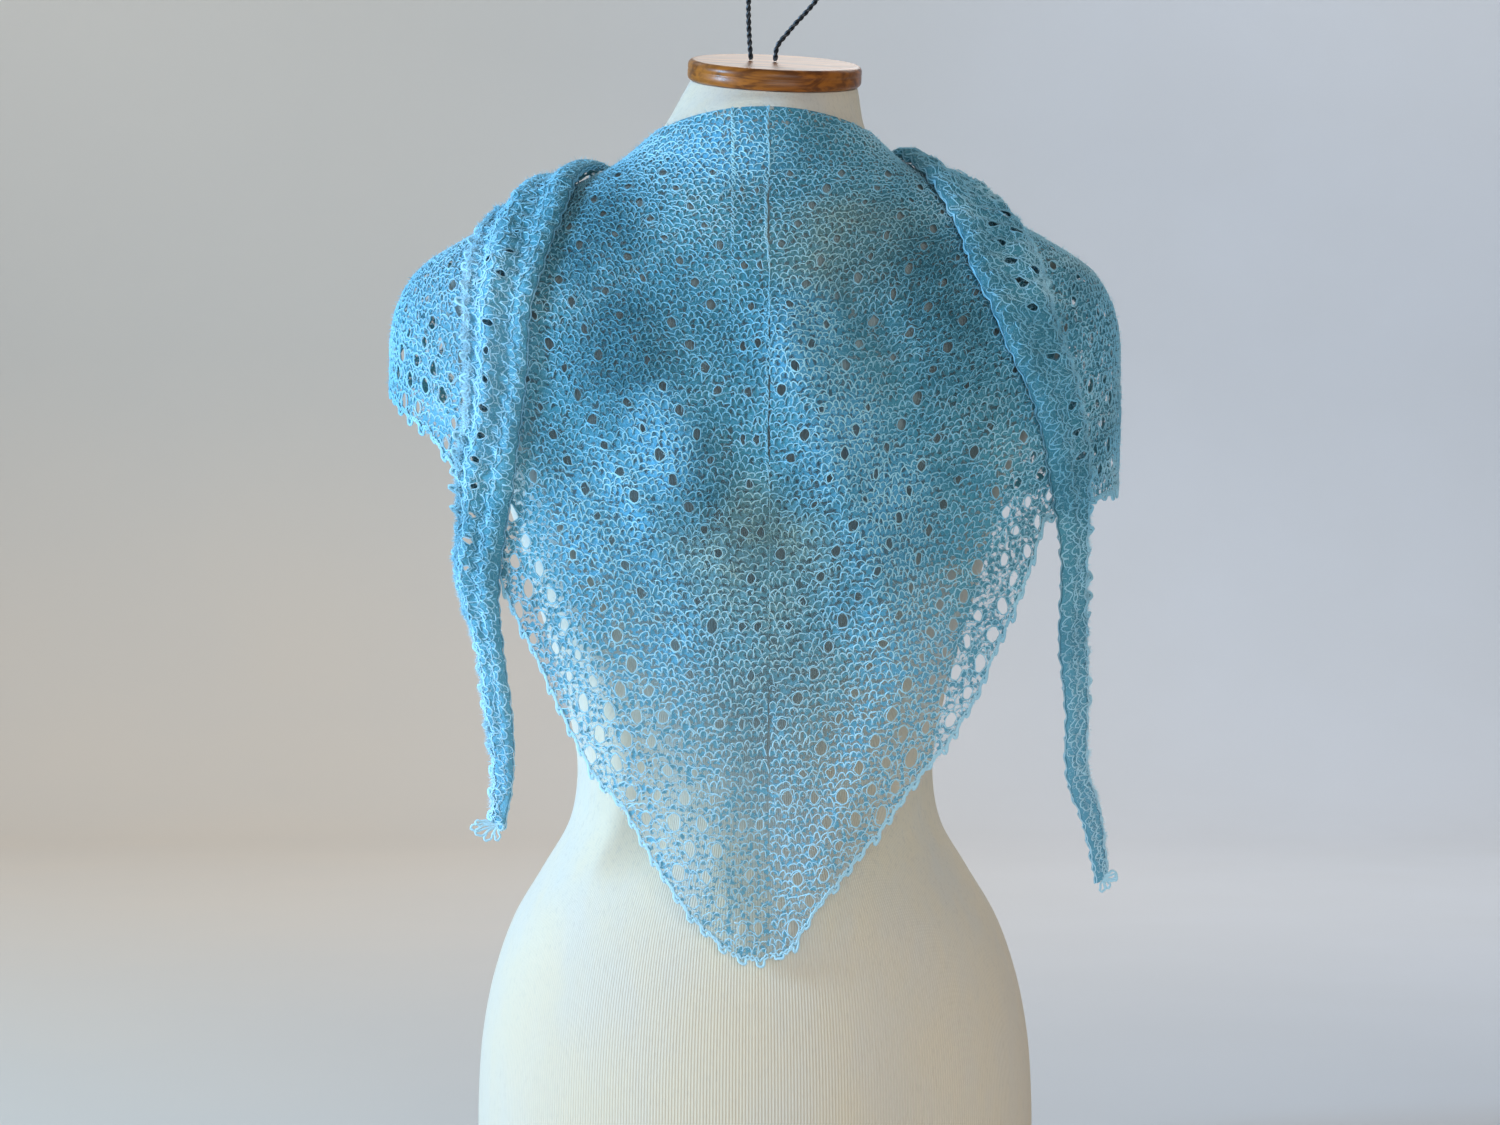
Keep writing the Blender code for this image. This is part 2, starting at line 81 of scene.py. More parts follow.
# Eyelets: they stand in lines that come down to the middle, two stitches in for each three rows
LINE_APART = 14
LINE_IN = 4
LINE_DOWN = 6
EYELET_HALF_WIDTH = 3.0 * MM
EYELET_HALF_HEIGHT = 3.6 * MM
LOW_EYELET_WIDER = 0.8 * MM
LOW_EYELET_TALLER = 2.2 * MM
TAIL_EYELETS = 0.6
RING_STEPS = 2
SLIVER = 4e-7
LOW_EYELETS = 120 * MM
FIRST_EYELET_DROP = 40 * MM

# Picots along the lower edge
PICOT_PITCH = 14.0 * MM
PICOT_DEPTH = 5.0 * MM
EDGE_RADIUS = 0.8 * MM

# The wings' edge by the neck, rolled under: how far aside and under, in millimetres
ROLL_START = 200 * MM
ROLL = ((0.0, 0.0), (0.9, 1.3), (0.9, 3.0), (0.0, 4.4))

# Cloth
SEAM_ANGLE = 110.0
STRIP_WIDTH = 24.0 * MM
STRIP_CENTRE = -3.0 * MM
DOME_SHARE = 0.55
FOLD_DRIFT = 0.9
FOLD_DRIFT_LENGTH = 68.0 * MM
CRUMPLE = 1.9
CRUMPLE_START = 405.0 * MM
CRUMPLE_LENGTH = 13.0 * MM
FUZZ_LENGTH = 5.0 * MM
FUZZ_WIDTH = 0.20 * MM
EDGE_FUZZ = 2.5

# Dress form
NECK_CENTRE_SHIFT = 5.0 * MM
NECK_SHIFT_DROP = 130.0 * MM
RIBS = 560
CAP_RADIUS = 57.5 * MM
CAP_THICKNESS = 14.0 * MM
CAP_CENTRE = Vector((13.0, 0.0, 750.5)) * MM
CAP_TILT = math.radians(14.5)
CAP_ROLL = math.radians(2.7)
NECK_TOP_RADIUS = 55.0 * MM
TOUCH_GAP = 0.3 * MM
WIRE_RADIUS = 1.7 * MM
STRAND_RADIUS = 0.95 * MM

# The drape: the middle of the cloth's wall, in millimetres
DRAPE = (
    # drop, front, front_z, side, side_z, back, back_z
    (0, 62, 719, 72, 708, 60, 716),
    (30, 71, 690, 96, 688, 72, 690),
    (60, 85, 664, 124, 673, 88, 664),
    (90, 98, 637, 151, 659, 100, 637),
    (130, 110, 598, 188, 641, 110, 598),
    (170, 120, 559, 223, 617, 116, 559),
    (200, 125, 529, 236, 593, 119, 529),
    (250, 128, 479, 240, 543, 121, 479),
    (300, 128, 429, 239, 493, 121, 429),
    (350, 126.5, 379, 238, 443, 120, 379),
    (450, 121.5, 279, 237, 343, 118, 279),
    (610, 117, 119, 236, 183, 115, 119),
)

# How far down the cloth its lower edge lies at each angle from the front
HEM = (
    # angle, left, right
    (0, 549, 549),
    (5, 541, 545),
    (10, 522, 514),
    (15, 494, 492),
    (20, 462, 472),
    (25, 446, 449),
    (30, 416, 433),
    (35, 383, 411),
    (40, 356, 379),
    (45, 322, 352),
    (50, 288, 312),
    (60, 266, 314),
    (75, 259, 317),
    (90, 247, 314),
    (110, 240, 298),
)
NECK_EDGE = (
    # angle, left, right
    (0, 0, 0),
    (90, 0, 0),
    (97, 22, 0),
    (104, 66, 0),
    (110, 102, 0),
)

# Creases across the front, in millimetres as seen from the front, the last ones finer than the solids have
CREASES = (
    # from_x, from_z, to_x, to_z, half_width, height
    (14, 560, 74, 392, 24, 7),
    (62, 575, 128, 430, 26, -5),
    (-128, 545, -52, 395, 24, -5),
    (-70, 560, -14, 440, 22, 4),
    (-104, 372, -34, 230, 20, 5),
    (92, 360, 40, 232, 18, 4),
    (2, 330, 8, 200, 16, -3),
    (22, 568, 86, 388, 18, 5.5),
    (78, 560, 122, 440, 18, -3),
    (30, 460, 62, 380, 8, 1.4),
    (-60, 470, -30, 410, 9, -1.2),
    (-96, 500, -66, 452, 8, 1.3),
    (110, 520, 92, 470, 9, 1.2),
    (-16, 300, -26, 236, 8, 1.2),
    (52, 316, 34, 262, 9, -1.2),
)

# The wing from the right shoulder to the left tail, and the one from the left shoulder to the right tail
RIGHT_WING = (
    # along, angle, drop, heading, width, lift, fold
    (0, 110, 149, 90, 298, 0, 0),
    (62, 135, 147, 90, 277, 3, 2.5),
    (140, 160, 135, 90, 239, 5, 4),
    (202, 180, 113, 90, 183, 6, 5),
    (270, 205, 88, 90, 123, 7, 5),
    (320, 228, 64, 90, 68, 8, 5.5),
    (359, 250, 63, 90, 58, 10.5, 5.5),
    (391, 270, 65, 90, 54, 12, 5.5),
    (413, 281, 77, 72, 52, 12, 5.5),
    (446, 295, 100, 48, 52, 10, 5.5),
    (487, 306, 133, 24, 50, 8.5, 5.5),
    (526, 313, 166, 8, 47, 8.2, 5.2),
    (567, 317, 205, 2, 43, 8, 5),
    (608, 317, 246, 0, 39, 8, 4.8),
    (636, 315.5, 274, 0, 42, 8, 5),
    (676, 314.2, 314, 0, 35, 8, 4.4),
    (712, 313.2, 350, 0, 32, 8, 4),
    (752, 316.2, 388, 0, 20, 8, 2.6),
    (792, 318, 428, 0, 19, 8, 2.4),
    (830, 318.8, 466, 0, 13, 8, 1.3),
    (862, 317.6, 498, 0, 8, 8, 0.5),
)
LEFT_TAIL_LOOPS = (
    # to the right, up, length, half_width
    (-1.0, 0.10, 13, 1.5),
    (-1.0, -0.15, 16, 2.2),
    (-1.0, -0.45, 14, 2.5),
    (-0.6, -0.9, 12, 2.0),
    (0.1, -1.0, 10, 1.5),
    (0.9, -0.5, 5, 2.0),
)
RIGHT_WING_SHOULDER = 391 * MM
RIGHT_WING_FOLDS = 2.0
LEFT_WING = (
    # along, angle, drop, heading, width, lift, fold
    (0, 110, 171, 90, 138, 0, 0),
    (41, 126, 181, 90, 136, 8, 1),
    (76, 138, 180, 90, 136, 15, 2.5),
    (123, 152, 168, 90, 152, 19, 4),
    (197, 172, 147, 90, 172, 20, 5),
    (272, 195, 116, 90, 148, 18.5, 5),
    (332, 218, 81, 90, 98, 16, 5),
    (375, 240, 57, 90, 66, 12, 5.5),
    (404, 257, 48, 90, 60, 9.5, 5.5),
    (423, 270, 47, 90, 58, 9.5, 5.5),
    (444, 281, 60, 74, 56, 9.5, 5.5),
    (474, 292, 84, 52, 52, 9, 5.2),
    (518, 303, 122, 34, 48, 8.5, 5),
    (564, 311, 162, 22, 45, 8.2, 4.8),
    (599, 312, 197, 8, 41, 8, 4.6),
    (637, 308.5, 234, -8, 34, 8, 4.2),
    (698, 304.2, 294, -6, 30, 8, 3.8),
    (744, 303.2, 340, 0, 20, 8, 2.6),
    (800, 303.2, 396, 0, 21, 8, 2.6),
    (842, 302, 438, 0, 18, 8, 2.2),
    (888, 301.5, 484, 0, 17, 8, 2),
    (925, 296.5, 518, -8, 15, 8, 1.6),
    (968, 292.6, 560, -6, 9, 8, 0.6),
)
RIGHT_TAIL_LOOPS = (
    # to the right, up, length, half_width
    (1.0, 0.35, 8, 2.5),
    (0.9, 0.0, 8, 2.0),
    (-0.2, -1.0, 9, 1.5),
    (0.4, -1.0, 7, 1.5),
)
LEFT_WING_SHOULDER = 423 * MM
LEFT_WING_FOLDS = 1.5

# The dress form, in millimetres, below the shoulder, and how far inside the drape its neck lies
FORM = (
    # front, front_z, side, side_z, back, back_z
    (106, 590, 197, 628, 104, 590),
    (111, 560, 206, 600, 106, 560),
    (116, 530, 205, 566, 107, 530),
    (118, 500, 192, 532, 105, 500),
    (117, 472, 174, 498, 101, 472),
    (114, 444, 160, 458, 97, 444),
    (106, 408, 146, 410, 90, 408),
    (98, 370, 134, 370, 84, 370),
    (91, 330, 123, 330, 80, 330),
    (89, 290, 117, 290, 80, 290),
    (93, 258, 122, 258, 86, 258),
    (101, 228, 139, 228, 98, 228),
    (108, 196, 158, 196, 111, 196),
    (111, 160, 171, 160, 121, 160),
    (112, 120, 179, 120, 127, 120),
    (112, 78, 182, 78, 128, 78),
    (110, 38, 182, 38, 125, 38),
    (107, 0, 180, 0, 120, 0),
)
NECK_AND_SHOULDER = (
    # drop, inside
    (0, 1.7),
    (18, 1.7),
    (40, 1.9),
    (64, 2.4),
    (90, 3.2),
    (116, 4.5),
)
LOOP = (
    # x, y, z from the middle of the neck cap's top
    (-16.0, 0.0, 0.0),
    (-17.0, 0.0, 16.0),
    (-17.5, 0.0, 40.0),
    (-15.0, 0.0, 66.0),
    (-6.0, 0.0, 90.0),
    (9.0, 0.0, 104.0),
    (26.0, 0.0, 105.0),
    (39.0, 0.0, 94.0),
    (43.0, 0.0, 76.0),
    (38.0, 0.0, 56.0),
    (25.0, 0.0, 38.0),
    (9.0, 0.0, 20.0),
    (1.0, 0.0, 9.0),
    (0.0, 0.0, 0.0),
)

# Colours of the yarn, from its lightest to its darkest, and of the rest, some of them painted light and shade as noted
SKY = (0.46, 0.79, 0.90)
# Pale sky: painted light in the pale patches on the front, and the paler lower part of the yarn
PALE_SKY = (0.58, 0.88, 1.0)
MIDDLE_BLUE = (0.235, 0.61, 0.79)
# Painted light: the yarn's colour where the bright patches paint light on the front
PAINTED_LIGHT_BLUE = (0.50, 0.90, 1.0)
# Azure: the dye's deep bands, and painted shade in the deep patches on the front
AZURE = (0.07, 0.30, 0.40)
SEA_GREEN = (0.48, 0.60, 0.48)
CREAM = (0.93, 0.80, 0.60)
# Painted light and shade on the stage: darker at the top left, warmer low on the left, lighter and bluer on the right
SHADED_WALL_LEFT_TOP = (0.60, 0.58, 0.54)
SHADED_WALL_LEFT_LOW = (0.66, 0.59, 0.51)
LIT_WALL_RIGHT = (0.66, 0.675, 0.71)


# Shape of the drape


def smooth(known, values, places):
    """Values on a smooth curve through the known ones, at any places along it."""
    known = np.asarray(known, float)
    values = np.asarray(values, float)
    slopes = np.gradient(values, known, axis=0)
    low = np.clip(np.searchsorted(known, places) - 1, 0, len(known) - 2)
    span = known[low + 1] - known[low]
    t = (places - known[low]) / span
    if values.ndim > 1:
        more = (1,) * (values.ndim - 1)
        t = t.reshape(t.shape + more)
        span = span.reshape(span.shape + more)
    start = (2 * t**3 - 3 * t**2 + 1) * values[low] + (t**3 - 2 * t**2 + t) * span * slopes[low]
    end = (3 * t**2 - 2 * t**3) * values[low + 1] + (t**3 - t**2) * span * slopes[low + 1]
    return start + end


def column(rows, number):
    return np.array([row[number] for row in rows], float)


def ring_points(angles, front, front_z, side, side_z, back, back_z, shift=0.0):
    turn = np.radians(angles)
    ahead = np.cos(turn) >= 0
    depth = np.where(ahead, front, back)
    rise = (np.where(ahead, front_z, back_z) - side_z) * np.cos(turn) ** 2
    return np.stack([shift + side * np.sin(turn), -depth * np.cos(turn), side_z + rise], axis=-1)


def neck_shift(drops):
    return NECK_CENTRE_SHIFT * np.clip(1.0 - drops / NECK_SHIFT_DROP, 0.0, 1.0)


def bare_points(angles, drops):
    sizes = [smooth(column(DRAPE, 0), column(DRAPE, n), drops / MM) * MM for n in range(1, 7)]
    return ring_points(angles, *sizes, neck_shift(drops))


def unit(vectors):
    return vectors / np.maximum(np.linalg.norm(vectors, axis=-1, keepdims=True), 1e-12)


def drape_frames(angles, drops):
    """The drape's points, its ways out, and metres a degree round it."""
    round_way = bare_points(angles + 0.5, drops) - bare_points(angles - 0.5, drops)
    down_way = bare_points(angles, drops + MM) - bare_points(angles, np.maximum(drops - MM, 0.0))
    degree = np.linalg.norm(round_way, axis=-1)
    out = unit(np.cross(unit(down_way), unit(round_way)))
    return bare_points(angles, drops), out, degree


def crease_heights(x, z):
    total = np.zeros_like(x)
    for from_x, from_z, to_x, to_z, half_width, height in CREASES:
        way_x = (to_x - from_x) * MM
        way_z = (to_z - from_z) * MM
        share = ((x - from_x * MM) * way_x + (z - from_z * MM) * way_z) / (way_x**2 + way_z**2)
        share = np.clip(share, 0.0, 1.0)
        apart = np.hypot(x - from_x * MM - share * way_x, z - from_z * MM - share * way_z)
        total += height * MM * np.exp(-((apart / (half_width * MM)) ** 2))
    return total


def drape_points(angles, drops, lift=0.0):
    place, out, _ = drape_frames(angles, drops)
    crease = np.where(place[..., 1] < 0, crease_heights(place[..., 0], place[..., 2]), 0.0)
    return place + out * (lift + crease)[..., None]


def fold_heights(folds, along, across):
    """How high a wing's section stands, from -1 to 1: a dome from edge to edge, with folds that wander."""
    dome = 2 * np.cos(math.pi * across) - 1
    drift = FOLD_DRIFT * np.sin(along / FOLD_DRIFT_LENGTH)
    wave = np.sin(2 * math.pi * folds * (across + 0.5) + drift)
    return DOME_SHARE * dome + (1 - DOME_SHARE) * wave


def wing_points(rows, folds, side, along, across):
    """Points of a wing. Across goes from -0.5 at the edge by the neck to 0.5 at the picot edge."""
    sizes = [smooth(column(rows, 0), column(rows, n), along / MM) for n in range(1, 7)]
    angle, drop, heading, width, lift, fold = sizes
    turn = np.radians(heading)
    offset = across * width * MM
    _, _, degree = drape_frames(side * angle, drop * MM)
    drop_here = drop * MM + offset * np.sin(turn)
    angle_here = angle - offset * np.cos(turn) / degree
    lumps = np.sin(2 * math.pi * along / CRUMPLE_LENGTH + 5 * across) * np.cos(2 * math.pi * 1.7 * across + along / (11 * MM))
    crumpled = CRUMPLE * np.clip((along - CRUMPLE_START) / (30 * MM), 0, 1) * np.clip(width / 30, 0.3, 1)
    height = lift + fold * fold_heights(folds, along, across) + crumpled * lumps
    return drape_points(side * angle_here, drop_here, height * MM)


def lookup(table, row, place):
    """What a table holds between its rows and columns."""
    row = np.clip(row, 0, table.shape[0] - 1.001)
    place = np.clip(place, 0, table.shape[1] - 1.001)
    r = row.astype(int)
    c = place.astype(int)
    down = row - r
    on = place - c
    if table.ndim > 2:
        down = down[..., None]
        on = on[..., None]
    high = table[r, c] * (1 - on) + table[r, c + 1] * on
    low = table[r + 1, c] * (1 - on) + table[r + 1, c + 1] * on
    return high * (1 - down) + low * down


def arc_lengths(points):
    """Distances along each row of points, from its first."""
    steps = np.linalg.norm(np.diff(points, axis=1), axis=-1)
    return np.concatenate([np.zeros((len(points), 1)), np.cumsum(steps, axis=1)], axis=1)


class FrontShape:
    """Places on one half of the front, by the distance from the centre strip and the drop."""

    DROP_STEP = 4 * MM
    REACH_STEP = 2 * MM

    def __init__(self, side, inner, outer):
        self.hem = column(HEM, 1 if side < 0 else 2) * MM
        self.neck = column(NECK_EDGE, 1 if side < 0 else 2) * MM
        drops = np.arange(0, 0.572, self.DROP_STEP)
        half_width = smooth(column(DRAPE, 0), column(DRAPE, 3), drops / MM) * MM
        first = np.degrees(np.arcsin((inner - neck_shift(drops)) / half_width))
        if outer is None:
            last = np.full_like(first, side * SEAM_ANGLE)
        else:
            last = np.degrees(np.arcsin((outer - neck_shift(drops)) / half_width))
        angles = first[:, None] + (last - first)[:, None] * np.linspace(0, 1, 140)[None, :]
        places = drape_points(angles, np.broadcast_to(drops[:, None], angles.shape))
        reach = arc_lengths(places)
        if outer is not None:
            reach *= abs(outer - inner) / reach[:, -1:]
        self.longest = reach.max()
        self.ends = reach[:, -1:]
        marks = np.arange(0, self.longest + 2 * self.REACH_STEP, self.REACH_STEP)
        self.angles = np.array([np.interp(marks, r, a) for r, a in zip(reach, angles)])

    def edges(self, reach, drop):
        angle = lookup(self.angles, drop / self.DROP_STEP, reach / self.REACH_STEP)
        neck = np.interp(np.abs(angle), column(NECK_EDGE, 0), self.neck)
        hem = np.interp(np.abs(angle), column(HEM, 0), self.hem)
        return angle, neck, hem

    def place(self, reach, drop):
        """Points, and where on the cloth they are: True inside its edges."""
        wanted = drop
        for _ in range(40):
            _, neck, hem = self.edges(reach, drop)
            drop = 0.8 * drop + 0.2 * np.clip(wanted, neck, hem)
        angle, _, _ = self.edges(reach, drop)
        end = lookup(np.repeat(self.ends, 2, axis=1), drop / self.DROP_STEP, np.zeros_like(drop))
        inside = (np.abs(drop - wanted) < 0.2 * MM) & (reach < end) & (reach > -1e-6)
        return drape_points(angle, drop), inside

    def to_hem(self, reach, drop):
        return self.edges(reach, drop)[2] - drop


class WingShape:
    """Places on a wing, by the distance along it and the distance across it from the edge by the neck."""

    ALONG_STEP = 4 * MM
    ACROSS_STEP = 1.5 * MM

    def __init__(self, rows, folds, side):
        self.rows = rows
        self.folds = folds
        self.side = side
        along = np.arange(0, rows[-1][0] * MM + 0.5 * MM, self.ALONG_STEP)
        shares = np.broadcast_to(np.linspace(-0.5, 0.5, 97)[None, :], (len(along), 97))
        stations = np.broadcast_to(along[:, None], shares.shape)
        reach = arc_lengths(wing_points(rows, folds, side, stations, shares))
        self.ends = reach[:, -1:]
        self.longest = reach.max()
        marks = np.arange(0, self.longest + 2 * self.ACROSS_STEP, self.ACROSS_STEP)
        self.shares = np.array([np.interp(marks, r, a) for r, a in zip(reach, shares)])

    def end(self, along):
        return lookup(np.repeat(self.ends, 2, axis=1), along / self.ALONG_STEP, np.zeros_like(along))

    def place(self, along, across):
        last = self.rows[-1][0] * MM
        share = lookup(self.shares, along / self.ALONG_STEP, across / self.ACROSS_STEP)
        inside = (across < self.end(along)) & (along < last) & (across > -1e-6)
        return wing_points(self.rows, self.folds, self.side, np.clip(along, 0, last), share), inside

    def to_hem(self, along, across):
        return self.end(along) - across


# Meshes


class Faces:
    """Points and faces gathered from many pieces of geometry, with a place on the cloth for each point."""

    def __init__(self):
        self.points = []
        self.maps = []
        self.corners = []
        self.sizes = []
        self.count = 0

    def add(self, points, faces, marks=None):
        self.points.append(points)
        self.maps.append(np.zeros((len(points), 2)) if marks is None else marks)
        self.corners.append((faces + self.count).ravel())
        self.sizes.append(np.full(len(faces), faces.shape[1]))
        self.count += len(points)

    def make(self, name, surface, body="root"):
        points = np.concatenate(self.points)
        corners = np.concatenate(self.corners)
        sizes = np.concatenate(self.sizes)
        marks = np.concatenate(self.maps)
        mesh = bpy.data.meshes.new(name)
        mesh.vertices.add(len(points))
        mesh.vertices.foreach_set("co", points.astype(np.float32).ravel())
        mesh.loops.add(len(corners))
        mesh.loops.foreach_set("vertex_index", corners.astype(np.int32))
        mesh.polygons.add(len(sizes))
        mesh.polygons.foreach_set("loop_start", np.concatenate([[0], np.cumsum(sizes)[:-1]]).astype(np.int32))
        mesh.update(calc_edges=True)
        layer = mesh.uv_layers.new(name="knit")
        layer.data.foreach_set("uv", marks[corners].astype(np.float32).ravel())
        mesh.shade_smooth()
        mesh.materials.append(surface)
        made = bpy.data.objects.new(name, mesh)
        bpy.context.scene.collection.objects.link(made)
        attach(made, body)
        return made


def strip_faces(count, wide):
    """Quads between count lines of points, each wide points long."""
    line, place = np.meshgrid(np.arange(count - 1), np.arange(wide - 1), indexing="ij")
    first = (line * wide + place).ravel()
    return np.stack([first, first + 1, first + wide + 1, first + wide], axis=1)


def across_of(points, outs):
    return unit(np.cross(outs, np.gradient(points, axis=0)))


def add_yarn(faces, points, outs, half_width, height, marks):
    """A yarn's upper side along a route: a low rounded ridge."""
    across = across_of(points, outs)
    lines = np.stack([points + across * half_width, points + outs * height, points - across * half_width], axis=1)
    faces.add(lines.reshape(-1, 3), strip_faces(len(points), 3), np.repeat(marks, 3, axis=0))


def add_tube(faces, points, outs, radius, sides=5):
    """A round strand along a route."""
    ahead = unit(np.gradient(points, axis=0))
    across = unit(np.cross(outs, ahead))
    up = np.cross(ahead, across)
    radius = np.broadcast_to(radius, len(points))[:, None]
    ring = []
    for number in range(sides + 1):
        turn = 2 * math.pi * number / sides
        ring.append(points + (across * math.cos(turn) + up * math.sin(turn)) * radius)
    faces.add(np.stack(ring, axis=1).reshape(-1, 3), strip_faces(len(points), sides + 1))


def soft_noise(shape, every):
    """Smooth uneven values between -1 and 1, with a new one each so many places."""
    coarse = chance.uniform(-1, 1, (shape[0] // every + 4, shape[1] // every + 4))
    rows, places = np.meshgrid(np.arange(shape[0]) / every, np.arange(shape[1]) / every, indexing="ij")
    rows = rows.astype(int) + (3 - 2 * (rows % 1)) * (rows % 1) ** 2
    places = places.astype(int) + (3 - 2 * (places % 1)) * (places % 1) ** 2
    return lookup(coarse, rows, places)


class Knit:
    """A stretch of knitted lace on a shape: a lattice of points each half stitch along and half row across."""

    def __init__(self, shape, along, across, eyelets):
        self.shape = shape
        self.nominal_along, self.nominal_across = np.meshgrid(along, across)
        size = self.nominal_along.shape
        self.along = self.nominal_along + chance.normal(0, UNEVEN, size) + WANDER * soft_noise(size, 9)
        self.across = self.nominal_across + chance.normal(0, UNEVEN, size) + WANDER * soft_noise(size, 9)
        for fixed in (self.along, self.across):
            nominal = self.nominal_along if fixed is self.along else self.nominal_across
            ease = np.clip(np.arange(size[1]) / 4, 0, 1)[None, :] * np.clip(np.arange(size[0]) / 4, 0, 1)[:, None]
            fixed[:] = nominal + (fixed - nominal) * ease
        self.holes = np.zeros((size[0] - 1, size[1] - 1), bool)
        self.near_hole = np.zeros(size)
        self.rings = []
        self.open_eyelets(eyelets)
        self.points, self.inside = shape.place(self.along, self.across)
        self.outs = self.ways_out()
        self.sunk = np.clip(0.9 * soft_noise(size, 14) - 0.1, 0, 1) * SUNK

    def ways_out(self):
        round_way = np.gradient(self.points, axis=1)
        down_way = np.gradient(self.points, axis=0)
        out = np.cross(down_way, round_way)
        middle = np.array([0.0, 0.0, 0.4])
        away = self.points - middle
        away[..., 2] *= 0.3
        sign = 1.0 if np.sum(np.sum(out * away, axis=-1) > 0) > out[..., 0].size / 2 else -1.0
        size = np.linalg.norm(out, axis=-1)
        out = unit(out) * sign
        plain = unit(away)
        weak = size < 1e-9
        out[weak] = plain[weak]
        return out

    def open_eyelets(self, eyelets):
        """Moves the lattice round each eyelet, a pointed oval, and drops the four cells inside it."""
        for j, i, half_width, half_height in eyelets:
            wide = half_width / HALF_STITCH
            tall = half_height / (self.nominal_across[j + 1, i] - self.nominal_across[j, i])
            for dv in range(-3, 4):
                for du in range(-3, 4):
                    ring = max(abs(du), abs(dv))
                    row = j + dv
                    place = i + du
                    if ring == 0 or not (0 <= row < self.along.shape[0] and 0 <= place < self.along.shape[1]):
                        continue
                    way_u = round(du / ring)
                    way_v = round(dv / ring)
                    diagonal = way_u != 0 and way_v != 0
                    shift_u = way_u * (wide * (0.74 if diagonal else 1.0) - 1)
                    shift_v = way_v * (tall * (0.60 if diagonal else 1.0) - 1)
                    part = (1.0, 0.45, 0.15)[ring - 1]
                    step = self.nominal_across[j + 1, i] - self.nominal_across[j, i]
                    self.along[row, place] += shift_u * part * HALF_STITCH
                    self.across[row, place] += shift_v * part * step
            self.near_hole[j - 1, i - 1 : i + 2] = -1.0
            self.near_hole[j + 1, i - 1 : i + 2] = 1.0
            self.rings.append((j, i))
            self.holes[j - 1 : j + 1, i - 1 : i + 1] = True

    def whole(self, start, end):
        """Which cells are cloth, between two columns of the lattice."""
        p = self.points
        ahead = p[:-1, 1:] - p[:-1, :-1]
        down = p[1:, :-1] - p[:-1, :-1]
        far = p[1:, 1:] - p[:-1, :-1]
        area = np.linalg.norm(np.cross(ahead, far), axis=-1) + np.linalg.norm(np.cross(down, far), axis=-1)
        kept = (area > SLIVER) & ~self.holes
        kept[:, :start] = False
        kept[:, end:] = False
        return kept

    def ground(self, start, end):
        """The cloth between the yarn's arcs, as one sheet with the eyelets cut out."""
        rows, wide = self.points.shape[:2]
        cells = np.argwhere(self.whole(start, end))
        first = cells[:, 0] * wide + cells[:, 1]
        quads = np.stack([first, first + 1, first + wide + 1, first + wide], axis=1)
        used, packed = np.unique(quads, return_inverse=True)
        marks = np.stack(np.meshgrid(np.arange(wide) / 2, np.arange(rows) / 2), axis=-1).reshape(-1, 2)
        faces = Faces()
        faces.add(self.points.reshape(-1, 3)[used], packed.reshape(-1, 4), marks[used])
        return faces

    def yarn(self, start, end, faces, steps=STEPS_AN_ARC, wild=0.38):
        """The rows of curly arcs that stand out of the cloth."""
        for row in range(2, self.points.shape[0] - 1, 2):
            inside = self.inside[row, start : end + 1] & self.inside[row - 1, start : end + 1]
            edges = np.flatnonzero(np.diff(np.concatenate([[0], inside.astype(int), [0]])))
            for first, last in zip(edges[::2], edges[1::2] - 1):
                if last - first >= 3:
                    self.yarn_row(row, start + first, start + last, faces, steps, wild)

    def yarn_row(self, row, first, last, faces, steps, wild):
        arcs = (last - first) * HALF_STITCH / ARC
        count = max(4, int(arcs * steps))
        t = np.linspace(0, arcs, count + 1)
        knots = np.arange(0, arcs + 1, 0.5)
        whole = np.arange(int(arcs) + 3)
        start = (0.5 * (row // 2) + first * HALF_STITCH / ARC + chance.uniform(-0.15, 0.15)) % 1.0
        t_moved = t + start + np.interp(t, whole, chance.normal(0, 0.12, len(whole)))
        number = np.clip(t_moved.astype(int), 0, len(whole) - 1)
        share = t_moved % 1.0
        size = chance.uniform(0.6, 1.25, len(whole))[number]
        curl = chance.uniform(0.5, 1.4, len(whole))[number]
        lean = chance.normal(0, 0.12, len(whole))[number]
        top = np.sin(math.pi * share) ** 0.85
        aside = -ARC_CURL * curl * np.sin(2 * math.pi * share) + lean * top
        place = first + np.clip(t + aside, 0, arcs) * ARC / HALF_STITCH
        place = np.minimum(place, last)
        push = lookup(self.near_hole, np.full_like(place, row), place)
        calm = 1 - 0.85 * np.abs(push)
        jump = np.interp(t, knots, chance.normal(0, wild, len(knots)))
        line = row + (jump - 2 * ARC_HEIGHT * (size * top - 0.5)) * calm + 0.3 * push
        points = lookup(self.points, line, place)
        outs = unit(lookup(self.outs, line, place))
        lift = YARN_LIFT - (ARC_DIP * (1 - top) + lookup(self.sunk, line, place)) * calm
        width = YARN_HALF_WIDTH * np.interp(t, knots, chance.uniform(0.75, 1.3, len(knots)))
        marks = np.stack([place / 2, line / 2], axis=1)
        add_yarn(faces, points + outs * lift[:, None], outs, width[:, None], YARN_HEIGHT, marks)

